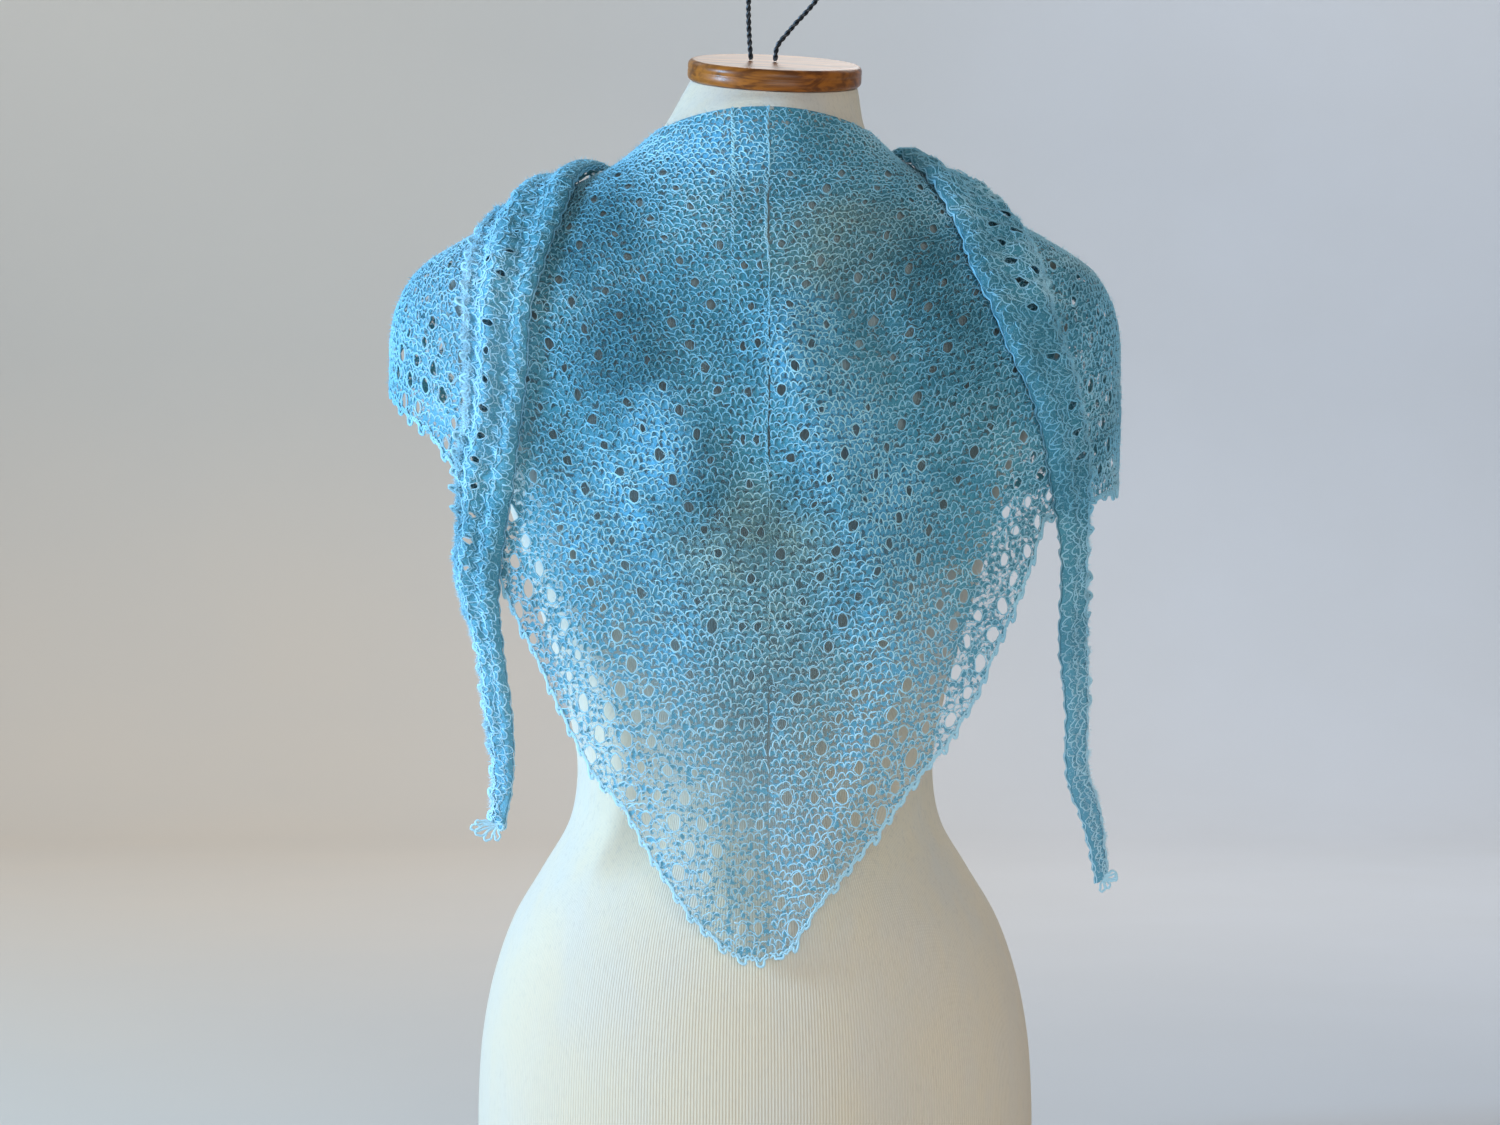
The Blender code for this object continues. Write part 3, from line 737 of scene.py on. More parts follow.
    def ring_yarn(self, start, end, faces):
        """A smooth strand round each eyelet."""
        turns = ((-1, 0), (-1, 1), (0, 1), (1, 1), (1, 0), (1, -1), (0, -1), (-1, -1))
        steps = np.arange(RING_STEPS) / RING_STEPS
        for j, i in self.rings:
            if not start < i < end:
                continue
            corners = np.array([self.points[j + v, i + u] for v, u in turns])
            outs = np.array([self.outs[j + v, i + u] for v, u in turns])
            before, after, later = (np.roll(corners, shift, axis=0) for shift in (1, -1, -2))
            route = []
            for t in steps:
                curve = 2 * corners + (after - before) * t
                curve += (2 * before - 5 * corners + 4 * after - later) * t**2
                curve += (3 * corners - before - 3 * after + later) * t**3
                route.append(curve / 2)
            route = np.stack(route, axis=1).reshape(-1, 3)
            raised = np.repeat(outs, RING_STEPS, axis=0) * (YARN_LIFT + 0.2 * MM)
            route = np.concatenate([route + raised, (route + raised)[:2]])
            ring_outs = np.repeat(outs, RING_STEPS, axis=0)
            ring_outs = np.concatenate([ring_outs, ring_outs[:2]])
            marks = np.tile([i / 2, j / 2], (len(route), 1))
            width = YARN_HALF_WIDTH * chance.uniform(0.6, 1.0)
            add_yarn(faces, route, ring_outs, width, YARN_HEIGHT, marks)

    def fuzz(self, start, end, share, faces):
        """Single fibres that stand off the cloth."""
        kept = self.whole(start, end)
        inner = kept.copy()
        inner[1:-1, 1:-1] &= kept[:-2, 1:-1] & kept[2:, 1:-1] & kept[1:-1, :-2] & kept[1:-1, 2:]
        number = np.where(inner, share, share * EDGE_FUZZ) + chance.random(kept.shape)
        cells = np.argwhere(kept)
        cells = np.repeat(cells, number[kept].astype(int), axis=0)
        spot = cells + chance.random(cells.shape)
        roots = lookup(self.points, spot[:, 0], spot[:, 1])
        outs = unit(lookup(self.outs, spot[:, 0], spot[:, 1]))
        way = unit(outs * 0.75 + chance.normal(0, 0.75, roots.shape))
        way += outs * np.maximum(0, 0.15 - np.sum(way * outs, axis=1))[:, None]
        side = unit(np.cross(way, chance.normal(0, 1, roots.shape))) * FUZZ_WIDTH
        length = FUZZ_LENGTH * chance.uniform(0.3, 1.0, len(roots))[:, None]
        hairs = np.stack([roots - side, roots + side, roots + way * length], axis=1).reshape(-1, 3)
        faces.add(hairs, np.arange(len(hairs)).reshape(-1, 3))


def row_lines(deepest):
    """Drops of the lattice's half rows on the front, which are taller further down."""
    drops = [0.0]
    while drops[-1] < deepest:
        row = TOP_ROW + (LOW_ROW - TOP_ROW) * drops[-1] / 0.55
        drops.append(drops[-1] + row / 2)
    return np.array(drops)


def lines_of_eyelets(shape, along, across, low, tallest, tail=None, narrow=0.0):
    """Eyelets in lines that come down to the middle, larger towards the lower edge, and small past the tail's start."""
    spots = []
    for level in range((len(across) - 8) // LINE_DOWN + 1):
        j = 5 + LINE_DOWN * level
        if across[j] < low:
            continue
        for i in range((3 - LINE_IN * level) % (LINE_APART // 2), len(along) - 2, LINE_APART // 2):
            if i >= 2:
                spots.append((j, i, (i - 3 + LINE_IN * level) % LINE_APART == 0))
    j, i, main = np.array(spots).T
    reach = along[i]
    drop = across[j]
    kept = chance.random(len(j)) > 0.08
    for aside, below in ((0, 0), (-STITCH, 0), (STITCH, 0), (0, -5 * MM), (0, 5 * MM)):
        kept &= shape.place(reach + aside, drop + below)[1]
    room = shape.to_hem(reach, drop)
    share = np.clip(1 - room / LOW_EYELETS, 0, 1)
    if narrow > 0:
        kept &= np.minimum(room, drop) > narrow
    kept &= (room > 7 * MM) & ((main > 0) | (share > 0.35))
    size = chance.uniform(0.7, 1.2, len(j))
    if tail is not None:
        size = np.where(reach > tail, size * TAIL_EYELETS, size)
    half_width = (EYELET_HALF_WIDTH + LOW_EYELET_WIDER * share) * size
    half_height = (EYELET_HALF_HEIGHT + LOW_EYELET_TALLER * share) * size * chance.uniform(0.85, 1.2, len(j))
    half_height = np.minimum(half_height, tallest)
    return [(j[n], i[n], half_width[n], half_height[n]) for n in np.flatnonzero(kept)]


def edge_route(shape, along, hem_reach):
    """Points of the lower edge and its ways down, at the places given."""
    points, _ = shape.place(along, hem_reach)
    inner, _ = shape.place(along, hem_reach - 4 * MM)
    down = unit(points - inner)
    return points, down


def picot_edge(shape, along, hem_reach, ground, yarn):
    """Binds the lower edge off with a strand, and small points at even distances."""
    points, down = edge_route(shape, along, hem_reach)
    steps = np.linalg.norm(np.diff(points, axis=0), axis=1)
    travel = np.concatenate([[0], np.cumsum(steps)])
    count = max(2, round(travel[-1] / PICOT_PITCH))
    pitch = travel[-1] / count
    samples = np.linspace(0, travel[-1], count * 22 + 1)
    route = np.stack([np.interp(samples, travel, points[:, n]) for n in range(3)], axis=1)
    fall = unit(np.stack([np.interp(samples, travel, down[:, n]) for n in range(3)], axis=1))
    ahead = unit(np.gradient(route, axis=0))
    outs = unit(np.cross(fall, ahead))
    middle = np.array([0.0, 0.0, 0.4])
    outs *= np.where(np.sum(outs * (route - middle) * (1, 1, 0.2), axis=1) > 0, 1.0, -1.0)[:, None]
    share = (samples / pitch) % 1.0
    number = np.minimum((samples / pitch).astype(int), count - 1)
    depth = PICOT_DEPTH * chance.uniform(0.35, 1.25, count)[number]
    middle_share = chance.uniform(0.38, 0.62, count)[number]
    bump = np.exp(-(((share - middle_share) / 0.16) ** 2))
    sway = chance.uniform(0.8, 2.2, count)[number] * MM * np.sin(2 * math.pi * (share - middle_share) * 2.4) * bump
    small = 0.55 * MM * np.cos(2 * math.pi * 4 * (share + middle_share))
    strand = route + fall * (depth * bump + small)[:, None] + ahead * sway[:, None] + outs * 0.5 * MM
    add_tube(yarn, strand, outs, EDGE_RADIUS * (1 + 0.25 * bump), 5)
    second = route + fall * (depth * bump * 0.55 - 1.6 * MM - small)[:, None] + outs * 0.8 * MM
    add_tube(yarn, second, outs, EDGE_RADIUS * 0.8, 4)
    teeth = np.stack([route - fall * 1.0 * MM, route + fall * (depth * bump)[:, None]], axis=1)
    marks = np.repeat(np.stack([samples / STITCH, samples * 0], axis=1), 2, axis=0)
    ground.add(teeth.reshape(-1, 3), strip_faces(len(samples), 2), marks)


def rolled_edge(knit, start, end, ground, yarn):
    """The edge by the neck, rolled under past the first part of the back, with two strands along it."""
    along = knit.nominal_along[0]
    start = max(start, int(np.searchsorted(along, ROLL_START)))
    along = along[start : end + 1]
    edge = knit.points[0, start : end + 1]
    outs = knit.outs[0, start : end + 1]
    away = unit(edge - knit.points[2, start : end + 1])
    deep = (np.clip((along - ROLL_START) / (60 * MM), 0.02, 1) * MM)[:, None]
    lines = [edge + (away * aside - outs * under) * deep for aside, under in ROLL]
    count = len(along)
    marks = np.stack([np.repeat(along / STITCH, len(ROLL)), np.tile(np.arange(len(ROLL)) * -0.4, count)], axis=1)
    ground.add(np.stack(lines, axis=1).reshape(-1, 3), strip_faces(count, len(ROLL)), marks)
    for under, phase in ((1.0, 0.0), (2.9, 2.2)):
        wave = 0.7 * np.sin(1.9 * np.arange(count) + phase)
        route = edge + (away * 1.0 - outs * (under + wave)[:, None]) * deep
        add_yarn(yarn, route, away, YARN_HALF_WIDTH * 1.2, YARN_HEIGHT, marks[:: len(ROLL)])


def end_loops(root, rows, faces):
    """Loose loops of yarn that stand out of a tail's end."""
    t = np.linspace(0, 1, 17)[:, None]
    front = np.array([0.0, -1.0, 0.0])
    for right, up, length, half_width in rows:
        way = unit(np.array([right, 0.0, up]))
        aside = np.cross(front, way)
        bulge = np.sin(2 * math.pi * t) * half_width + 0.4 * np.sin(9 * math.pi * t)
        route = root + (way * np.sin(math.pi * t) * length + aside * bulge + front * 1.5 * np.sin(math.pi * t)) * MM
        add_tube(faces, route, np.tile(front, (len(t), 1)), EDGE_RADIUS, 5)


# Materials


class Surface:
    """A material and short ways to add its nodes."""

    def __init__(self, name, roughness):
        self.material = bpy.data.materials.new(name)
        self.material.use_nodes = True
        self.tree = self.material.node_tree
        self.shader = self.tree.nodes["Principled BSDF"]
        self.shader.inputs["Roughness"].default_value = roughness
        self.place = self.node("ShaderNodeTexCoord").outputs

    def node(self, kind, **settings):
        made = self.tree.nodes.new(kind)
        for name, value in settings.items():
            setattr(made, name, value)
        return made

    def link(self, start, end):
        self.tree.links.new(start, end)

    def maths(self, operation, first, second=None, third=None):
        made = self.node("ShaderNodeMath", operation=operation)
        for number, value in enumerate((first, second, third)):
            if value is None:
                continue
            if isinstance(value, (int, float)):
                made.inputs[number].default_value = value
            else:
                self.link(value, made.inputs[number])
        return made.outputs[0]

    def between(self, value, low, high, start=0.0, end=1.0):
        made = self.node("ShaderNodeMapRange", interpolation_type="SMOOTHSTEP")
        self.link(value, made.inputs[0])
        for number, setting in enumerate((low, high, start, end), 1):
            made.inputs[number].default_value = setting
        return made.outputs[0]

    def mix(self, share, first, second, blend="MIX"):
        made = self.node("ShaderNodeMix", data_type="RGBA", blend_type=blend)
        if isinstance(share, (int, float)):
            made.inputs[0].default_value = share
        else:
            self.link(share, made.inputs[0])
        for socket, value in ((made.inputs[6], first), (made.inputs[7], second)):
            if isinstance(value, tuple):
                socket.default_value = (*value, 1.0)
            else:
                self.link(value, socket)
        return made.outputs[2]

    def stretched(self, scale, turn=(0.0, 0.0, 0.0), source="Object"):
        made = self.node("ShaderNodeMapping")
        made.inputs["Scale"].default_value = scale
        made.inputs["Rotation"].default_value = turn
        self.link(self.place[source], made.inputs["Vector"])
        return made.outputs[0]

    def noise(self, scale, detail=2.0, roughness=0.5, distortion=0.0, vector=None):
        made = self.node("ShaderNodeTexNoise")
        made.inputs["Scale"].default_value = scale
        made.inputs["Detail"].default_value = detail
        made.inputs["Roughness"].default_value = roughness
        made.inputs["Distortion"].default_value = distortion
        self.link(self.place["Object"] if vector is None else vector, made.inputs["Vector"])
        return made.outputs["Fac"]

    def axes(self, source="Object"):
        made = self.node("ShaderNodeSeparateXYZ")
        self.link(self.place[source], made.inputs[0])
        return made.outputs

    def patch(self, x, z, wide, tall):
        """1 in the middle of a soft oval patch of the front, and 0 outside it. Sizes in metres."""
        across, depth, height = self.axes()
        u = self.maths("MULTIPLY", self.maths("SUBTRACT", across, x), 1 / wide)
        v = self.maths("MULTIPLY", self.maths("SUBTRACT", height, z), 1 / tall)
        apart = self.maths("SQRT", self.maths("ADD", self.maths("MULTIPLY", u, u), self.maths("MULTIPLY", v, v)))
        return self.between(apart, 0.25, 1.0, 1.0, 0.0)

    def bump(self, height, strength, distance):
        made = self.node("ShaderNodeBump")
        made.inputs["Strength"].default_value = strength
        made.inputs["Distance"].default_value = distance
        self.link(height, made.inputs["Height"])
        self.link(made.outputs[0], self.shader.inputs["Normal"])

    def colour(self, value):
        self.link(value, self.shader.inputs["Base Color"])


# Soft patches on the front: where the yarn's dye turns green, and where shade (deep) and light (bright, pale) are
# painted on it
GREEN_PATCHES = (
    # x, z, wide, tall
    (-5, 425, 80, 70),
    (12, 330, 70, 90),
    (60, 625, 70, 50),
)
# Painted shade: the left tail's shadow on the chest, and the shade right of the ridge
PAINTED_SHADE_PATCHES = (
    # x, z, wide, tall
    (-100, 635, 48, 75),
    (-82, 560, 50, 70),
    (-38, 480, 36, 55),
    (95, 600, 75, 70),
    (124, 568, 44, 75),
)
# Painted light: the lit flank of the ridge right of the middle, and lit slopes on the left
PAINTED_LIGHT_PATCHES = (
    # x, z, wide, tall
    (-95, 450, 50, 70),
    (-60, 500, 34, 50),
    (30, 562, 34, 55),
    (54, 505, 38, 60),
    (84, 455, 42, 70),
    (88, 370, 38, 80),
    (72, 310, 40, 60),
    (-66, 380, 42, 80),
    (-22, 690, 60, 35),
)
# Painted light: pale patches where light falls on the lower part of the ridge, at the far left and low in the middle
PAINTED_PALE_LIGHT_PATCHES = (
    # x, z, wide, tall
    (-20, 310, 55, 60),
    (-182, 560, 60, 120),
    (88, 325, 45, 60),
    (110, 380, 30, 70),
    (10, 180, 90, 90),
)


def patches(surface, rows):
    """1 in the middle of any of the patches, and 0 outside them all."""
    total = None
    for x, z, wide, tall in rows:
        spot = surface.patch(x * MM, z * MM, wide * MM, tall * MM)
        total = spot if total is None else surface.maths("MAXIMUM", total, spot)
    return total


def dye_and_painted_light(surface, light, middle, green, deep, pale, bright):
    """The yarn's colour: uneven dye of light and middle blue, turning green in patches and deep in bands, lighter and
    paler towards the bottom, with painted shade in the deep patches and painted light in the bright and pale patches.
    """
    across, depth, height = surface.axes()
    broad = surface.noise(11.0, 3.0, 0.55, 0.6, surface.stretched((1.0, 1.0, 1.6)))
    broad = surface.maths("ADD", broad, surface.between(height, 0.20, 0.52, -0.16, 0.05))
    tone = surface.mix(surface.between(broad, 0.38, 0.64), light, middle)
    hazy = surface.noise(26.0, 2.0, 0.6)
    uneven = surface.between(hazy, 0.3, 0.6, 0.5, 1.0)
    here = surface.maths("MULTIPLY", surface.between(depth, 0.02, -0.04), uneven)
    greens = surface.maths("MULTIPLY", patches(surface, GREEN_PATCHES), here)
    tone = surface.mix(surface.maths("MULTIPLY", greens, 0.85), tone, green)
    spread = surface.maths("ABSOLUTE", surface.maths("ADD", across, 3 * MM))
    chevron = surface.maths("SUBTRACT", spread, surface.maths("MULTIPLY", height, 0.757))
    chevron = surface.maths("ADD", chevron, surface.maths("MULTIPLY", hazy, 0.03))
    bands = surface.maths("SINE", surface.maths("MULTIPLY", chevron, 2 * math.pi / 0.083))
    bands = surface.maths("MULTIPLY", surface.between(bands, 0.0, 1.0, 0.0, 0.35), uneven)
    # Painted shade: the deep patches darken the front where shadow falls; the deep bands mixed in with them are dye
    painted_shade_amount = surface.maths("MULTIPLY", patches(surface, PAINTED_SHADE_PATCHES), here)
    tone = surface.mix(surface.maths("MAXIMUM", bands, painted_shade_amount), tone, deep)
    # Painted light: the bright patches lighten the front where light falls on the ridge's flank and the lit slopes
    painted_light_amount = surface.maths("MULTIPLY", patches(surface, PAINTED_LIGHT_PATCHES), here)
    tone = surface.mix(painted_light_amount, tone, bright)
    # Painted light: the pale patches lighten the front where light falls; the yarn also turns paler towards the bottom
    paleness_with_painted_light = surface.maths("MULTIPLY", patches(surface, PAINTED_PALE_LIGHT_PATCHES), here)
    paleness_with_painted_light = surface.maths("MAXIMUM", surface.maths("MULTIPLY", paleness_with_painted_light, 0.7), surface.between(height, 0.48, 0.26, 0.0, 0.85))
    return surface.mix(paleness_with_painted_light, tone, pale)


def yarn_surface():
    surface = Surface("shawl_yarn", 0.75)
    tone = dye_and_painted_light(surface, SKY, MIDDLE_BLUE, SEA_GREEN, AZURE, PALE_SKY, PAINTED_LIGHT_BLUE)
    fibre = surface.noise(900.0, 2.0)
    tone = surface.mix(surface.between(fibre, 0.35, 0.7), tone, surface.mix(0.2, tone, (0.65, 0.88, 0.98)))
    surface.colour(tone)
    surface.shader.inputs["Sheen Weight"].default_value = 0.25
    surface.shader.inputs["Sheen Roughness"].default_value = 0.45
    surface.shader.inputs["Sheen Tint"].default_value = (0.65, 0.88, 1.0, 1.0)
    surface.shader.inputs["Specular IOR Level"].default_value = 0.25
    surface.bump(surface.noise(1500.0, 3.0), 0.5, 0.0003)
    return surface.material


def ground_surface(name, solid):
    """The cloth behind the arcs: darker yarn, its darkness partly painted shade between the arcs, with small gaps
    between its stitches unless it lies in a bundle.
    """
    surface = Surface(name, 0.9)
    # Darker than the yarn: partly the yarn's own deeper colour, partly painted shade between the arcs
    blues = ((0.10, 0.34, 0.42), (0.065, 0.27, 0.36))
    tone = dye_and_painted_light(surface, *blues, (0.20, 0.28, 0.24), (0.03, 0.13, 0.175), (0.18, 0.48, 0.64), (0.12, 0.44, 0.68))
    fibre = surface.noise(700.0, 3.0, 0.6)
    fibre = surface.between(fibre, 0.45, 0.75)
    tone = surface.mix(fibre, tone, surface.mix(0.5, tone, (0.25, 0.52, 0.65)))
    surface.colour(tone)
    if not solid:
        along, across, _ = surface.axes("UV")
        height = surface.axes()[2]
        waves = surface.maths("COSINE", surface.maths("MULTIPLY", along, 2 * math.pi))
        rows = surface.maths("COSINE", surface.maths("MULTIPLY", across, 2 * math.pi))
        gap = surface.maths("ADD", surface.maths("MULTIPLY", waves, 0.12), surface.maths("MULTIPLY", rows, -0.12))
        uneven = surface.noise(300.0, 2.0)
        gap = surface.maths("ADD", gap, surface.maths("MULTIPLY", surface.maths("SUBTRACT", uneven, 0.5), 3.2))
        gap = surface.maths("ADD", gap, surface.between(height, 0.22, 0.50, 0.55, 0.10))
        clear = surface.between(gap, 0.10, 0.60, 1.0, 0.15)
        surface.link(clear, surface.shader.inputs["Alpha"])
    surface.shader.inputs["Sheen Weight"].default_value = 0.2
    surface.shader.inputs["Sheen Tint"].default_value = (0.65, 0.88, 1.0, 1.0)
    surface.shader.inputs["Specular IOR Level"].default_value = 0.15
    surface.bump(surface.noise(800.0, 3.0), 0.8, 0.0006)
    return surface.material


def fuzz_surface():
    surface = Surface("shawl_fuzz", 0.8)
    blues = ((0.58, 0.86, 0.94), (0.40, 0.74, 0.86))
    surface.colour(dye_and_painted_light(surface, *blues, (0.46, 0.68, 0.68), (0.18, 0.45, 0.54), (0.72, 0.92, 1.0), (0.56, 0.90, 1.0)))
    surface.shader.inputs["Specular IOR Level"].default_value = 0.2
    return surface.material


def jersey_surface():
    surface = Surface("form_jersey", 0.92)
    around, _, _ = surface.axes("UV")
    wave = surface.maths("SINE", surface.maths("MULTIPLY", around, 2 * math.pi * RIBS))
    rib = surface.between(wave, -0.9, 0.9)
    patchy = surface.noise(14.0, 4.0, 0.6, 0.0, surface.stretched((1.0, 1.0, 0.35)))
    pale = surface.mix(surface.between(patchy, 0.4, 0.7), CREAM, (0.84, 0.79, 0.70))
    lint = surface.noise(600.0, 2.0, 0.6, 0.0, surface.stretched((1.0, 1.0, 0.25)))
    pale = surface.mix(surface.between(lint, 0.5, 0.75, 0.0, 0.35), pale, (0.62, 0.55, 0.46))
    # Painted shade in the rib grooves: the jersey is darker between its ribs
    pale = surface.mix(rib, surface.mix(0.25, pale, (0.50, 0.42, 0.32)), pale)
    across, depth, height = surface.axes()
    # Painted shade: the jersey is darker and bluer on the front where the shawl covers it, as its shadow falls there
    above_hem = surface.maths("SUBTRACT", height, surface.maths("MULTIPLY", surface.maths("ABSOLUTE", across), 1.2))
    painted_shade_under_shawl = surface.maths("MULTIPLY", surface.between(above_hem, 0.20, 0.36), surface.between(depth, 0.0, -0.05))
    painted_shade_under_shawl = surface.maths("MULTIPLY", painted_shade_under_shawl, surface.between(height, 0.720, 0.690))
    # Painted light: warmer and tan towards the bottom, standing in for warm light on the hips
    pale = surface.mix(surface.between(height, 0.30, 0.12), pale, surface.mix(0.5, pale, (0.86, 0.68, 0.48)))
    surface.colour(surface.mix(surface.maths("MULTIPLY", painted_shade_under_shawl, 0.85), pale, (0.26, 0.37, 0.40)))
    surface.shader.inputs["Sheen Weight"].default_value = 0.15
    surface.shader.inputs["Specular IOR Level"].default_value = 0.15
    stitches = surface.noise(500.0, 2.0)
    height = surface.maths("ADD", rib, surface.maths("MULTIPLY", stitches, 0.35))
    surface.bump(height, 0.5, 0.0004)
    return surface.material


def wood_surface():
    surface = Surface("cap_wood", 0.36)
    grain = surface.noise(90.0, 4.0, 0.6, 1.2, surface.stretched((0.12, 1.0, 1.6)))
    broad = surface.noise(22.0, 3.0, 0.5, 0.5, surface.stretched((0.2, 1.0, 1.0)))
    tone = surface.mix(surface.between(grain, 0.38, 0.62), (0.15, 0.042, 0.006), (0.40, 0.125, 0.014))
    tone = surface.mix(surface.between(broad, 0.45, 0.65, 0.0, 0.4), tone, (0.48, 0.17, 0.022))
    surface.colour(tone)
    surface.shader.inputs["Coat Weight"].default_value = 0.08
    surface.shader.inputs["Coat Roughness"].default_value = 0.12
    surface.shader.inputs["Specular IOR Level"].default_value = 0.3
    surface.bump(grain, 0.15, 0.0003)
    return surface.material


def wire_surface():
    surface = Surface("loop_wire", 0.42)
    wear = surface.noise(400.0, 3.0)
    surface.colour(surface.mix(surface.between(wear, 0.4, 0.65), (0.035, 0.04, 0.045), (0.11, 0.12, 0.13)))
    surface.shader.inputs["Metallic"].default_value = 0.85
    surface.bump(wear, 0.2, 0.0002)
    return surface.material


def stage_surface(name):
    surface = Surface(name, 0.9)
    across, _, height = surface.axes()
    soft = surface.noise(3.0, 3.0)
    # Painted light and shade across the stage: darker at the top left, warmer low on the left, lighter and bluer on the
    # right
    left = surface.mix(surface.between(height, 0.2, 0.9), SHADED_WALL_LEFT_LOW, SHADED_WALL_LEFT_TOP)
    tone = surface.mix(surface.between(across, -0.8, 1.0), left, LIT_WALL_RIGHT)
    surface.colour(surface.mix(surface.between(soft, 0.3, 0.7, 0.0, 0.12), tone, (0.55, 0.54, 0.52)))
    surface.bump(surface.noise(260.0, 3.0), 0.12, 0.0005)
    surface.shader.inputs["Specular IOR Level"].default_value = 0.2
    return surface.material


# Camera, stage and light


def add_camera():
    data = bpy.data.cameras.new("camera")
    data.sensor_width = 36.0
    data.lens = 72.7
    camera = bpy.data.objects.new("camera", data)
    camera.location = (-0.0033, -2.0, 0.427)
    camera.rotation_euler = (math.radians(90), 0.0, 0.0)
    bpy.context.scene.collection.objects.link(camera)
    bpy.context.scene.camera = camera


def add_light(name, place, target, size, power, colour):
    data = bpy.data.lights.new(name, "AREA")
    data.shape = "DISK"
    data.size = size
    data.energy = power
    data.color = colour
    lamp = bpy.data.objects.new(name, data)
    lamp.location = place
    aim = Vector(target) - Vector(place)
    lamp.rotation_euler = aim.to_track_quat("-Z", "Y").to_euler()
    bpy.context.scene.collection.objects.link(lamp)


def add_stage():
    """A pale floor that sweeps up into a plain wall behind the form, with painted light and shade across both."""
    wall = 3.4
    bend = 0.8
    outline = [(-6.0, 0.0), (wall - bend, 0.0)]
    for number in range(1, 12):
        turn = math.radians(90 * number / 12)
        outline.append((wall - bend + bend * math.sin(turn), bend - bend * math.cos(turn)))
    outline += [(wall, bend), (wall, 5.0)]
    lines = np.array([[(x, y, z) for x in (-5.0, 5.0)] for y, z in outline])
    faces = Faces()
    faces.add(lines.reshape(-1, 3), strip_faces(len(outline), 2))
    mesh_object = faces.make("backdrop", stage_surface("wall_with_painted_light"))
    mesh_object.parent = None
    del mesh_object["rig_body"]


def light_scene():
    bpy.context.scene.view_settings.view_transform = "Standard"
    world = bpy.data.worlds.new("soft light")
    world.use_nodes = True
    world.node_tree.nodes["Background"].inputs["Color"].default_value = (0.95, 0.97, 1.0, 1.0)
    world.node_tree.nodes["Background"].inputs["Strength"].default_value = 0.23
    bpy.context.scene.world = world
    add_light("window", (-2.3, -0.7, 1.0), (0.0, 0.0, 0.5), 0.8, 78.0, (0.40, 0.68, 1.0))
    add_light("room", (0.4, -2.6, 0.2), (0.0, 0.0, 0.3), 2.0, 33.0, (0.93, 0.96, 0.97))
    add_light("right wall light", (1.7, 1.7, 2.6), (0.9, 3.4, 0.7), 1.6, 21.0, (0.98, 0.97, 0.94))
    add_light("left wall light", (-1.7, 1.7, 2.6), (-0.9, 3.4, 0.7), 1.6, 21.0, (1.0, 0.95, 0.88))
    add_light("back light", (0.4, 2.2, 2.5), (0.0, 0.0, 0.5), 1.6, 22.0, (1.0, 0.98, 0.95))


# Pieces


def make_front(name, side, ground_paint, yarn_paint, fuzz_paint):
    inner = STRIP_CENTRE + side * STRIP_WIDTH / 2
    shape = FrontShape(side, inner, None)
    along = np.arange(0, shape.longest + 2 * HALF_STITCH, HALF_STITCH)
    across = row_lines(0.56)
    eyelets = lines_of_eyelets(shape, along, across, FIRST_EYELET_DROP, 6.4 * MM)
    knit = Knit(shape, along, across, eyelets)
    last = len(along) - 1
    ground = knit.ground(0, last)
    yarn = Faces()
    knit.yarn(0, last, yarn)
    knit.ring_yarn(0, last, yarn)
    reach = np.arange(0, shape.longest, 1.5 * MM)
    picot_edge(shape, *hem_line(shape, reach), ground, yarn)
    fuzz = Faces()
    knit.fuzz(0, last, 1.0, fuzz)
    return finish_cloth(name, ground, yarn, fuzz, ground_paint, yarn_paint, fuzz_paint)


def hem_line(shape, reach):
    """The reach and the drop of points on the front's lower edge, up to its seam."""
    drop = np.full_like(reach, 0.57)
    for _ in range(60):
        _, _, hem = shape.edges(reach, drop)
        drop = drop * 0.7 + hem * 0.3
    end = lookup(np.repeat(shape.ends, 2, axis=1), drop / shape.DROP_STEP, np.zeros_like(drop))
    kept = reach <= end
    return reach[kept], drop[kept]


def finish_cloth(name, ground, yarn, fuzz, ground_paint, yarn_paint, fuzz_paint):
    sheet = ground.make(name + "_cloth", ground_paint)
    strands = yarn.make(name + "_yarn", yarn_paint)
    hairs = fuzz.make(name + "_fuzz", fuzz_paint)
    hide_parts(name)
    return sheet, [strands, hairs]


def make_wing(rows, folds, side, shoulder, loops, names, paints, bundle_paint):
    shape = WingShape(rows, folds, side)
    along = np.arange(0, rows[-1][0] * MM + HALF_STITCH, HALF_STITCH)
    across = np.arange(0, shape.longest + WING_ROW / 2, WING_ROW / 2)
    tail = shoulder if side > 0 else None
    eyelets = lines_of_eyelets(shape, along, across, 6 * MM, 5.2 * MM, tail, 12 * MM)
    knit = Knit(shape, along, across, eyelets)
    middle = int(round(shoulder / HALF_STITCH))
    made = []
    for name, start, end in zip(names, (0, middle), (middle, len(along) - 1)):
        wrap = start == 0
        ground = knit.ground(start, end)
        yarn = Faces()
        if wrap:
            knit.yarn(start, end, yarn, BACK_STEPS_AN_ARC)
        else:
            knit.yarn(start, end, yarn, wild=0.8)
        knit.ring_yarn(start, end, yarn)
        reach = np.arange(along[start], along[end], 1.5 * MM)
        picot_edge(shape, reach, shape.end(reach), ground, yarn)
        rolled_edge(knit, start, end, ground, yarn)
        if not wrap:
            tip = along[-1] - 3 * MM
            end_loops(shape.place(np.array([tip]), shape.end(np.array([tip])) / 2)[0], loops, yarn)
        fuzz = Faces()
        knit.fuzz(start, end, 0.4 if wrap else 1.7, fuzz)
        cloth_paint = paints[0] if wrap else bundle_paint
        made.append(finish_cloth(name, ground, yarn, fuzz, cloth_paint, *paints[1:]))
    return made


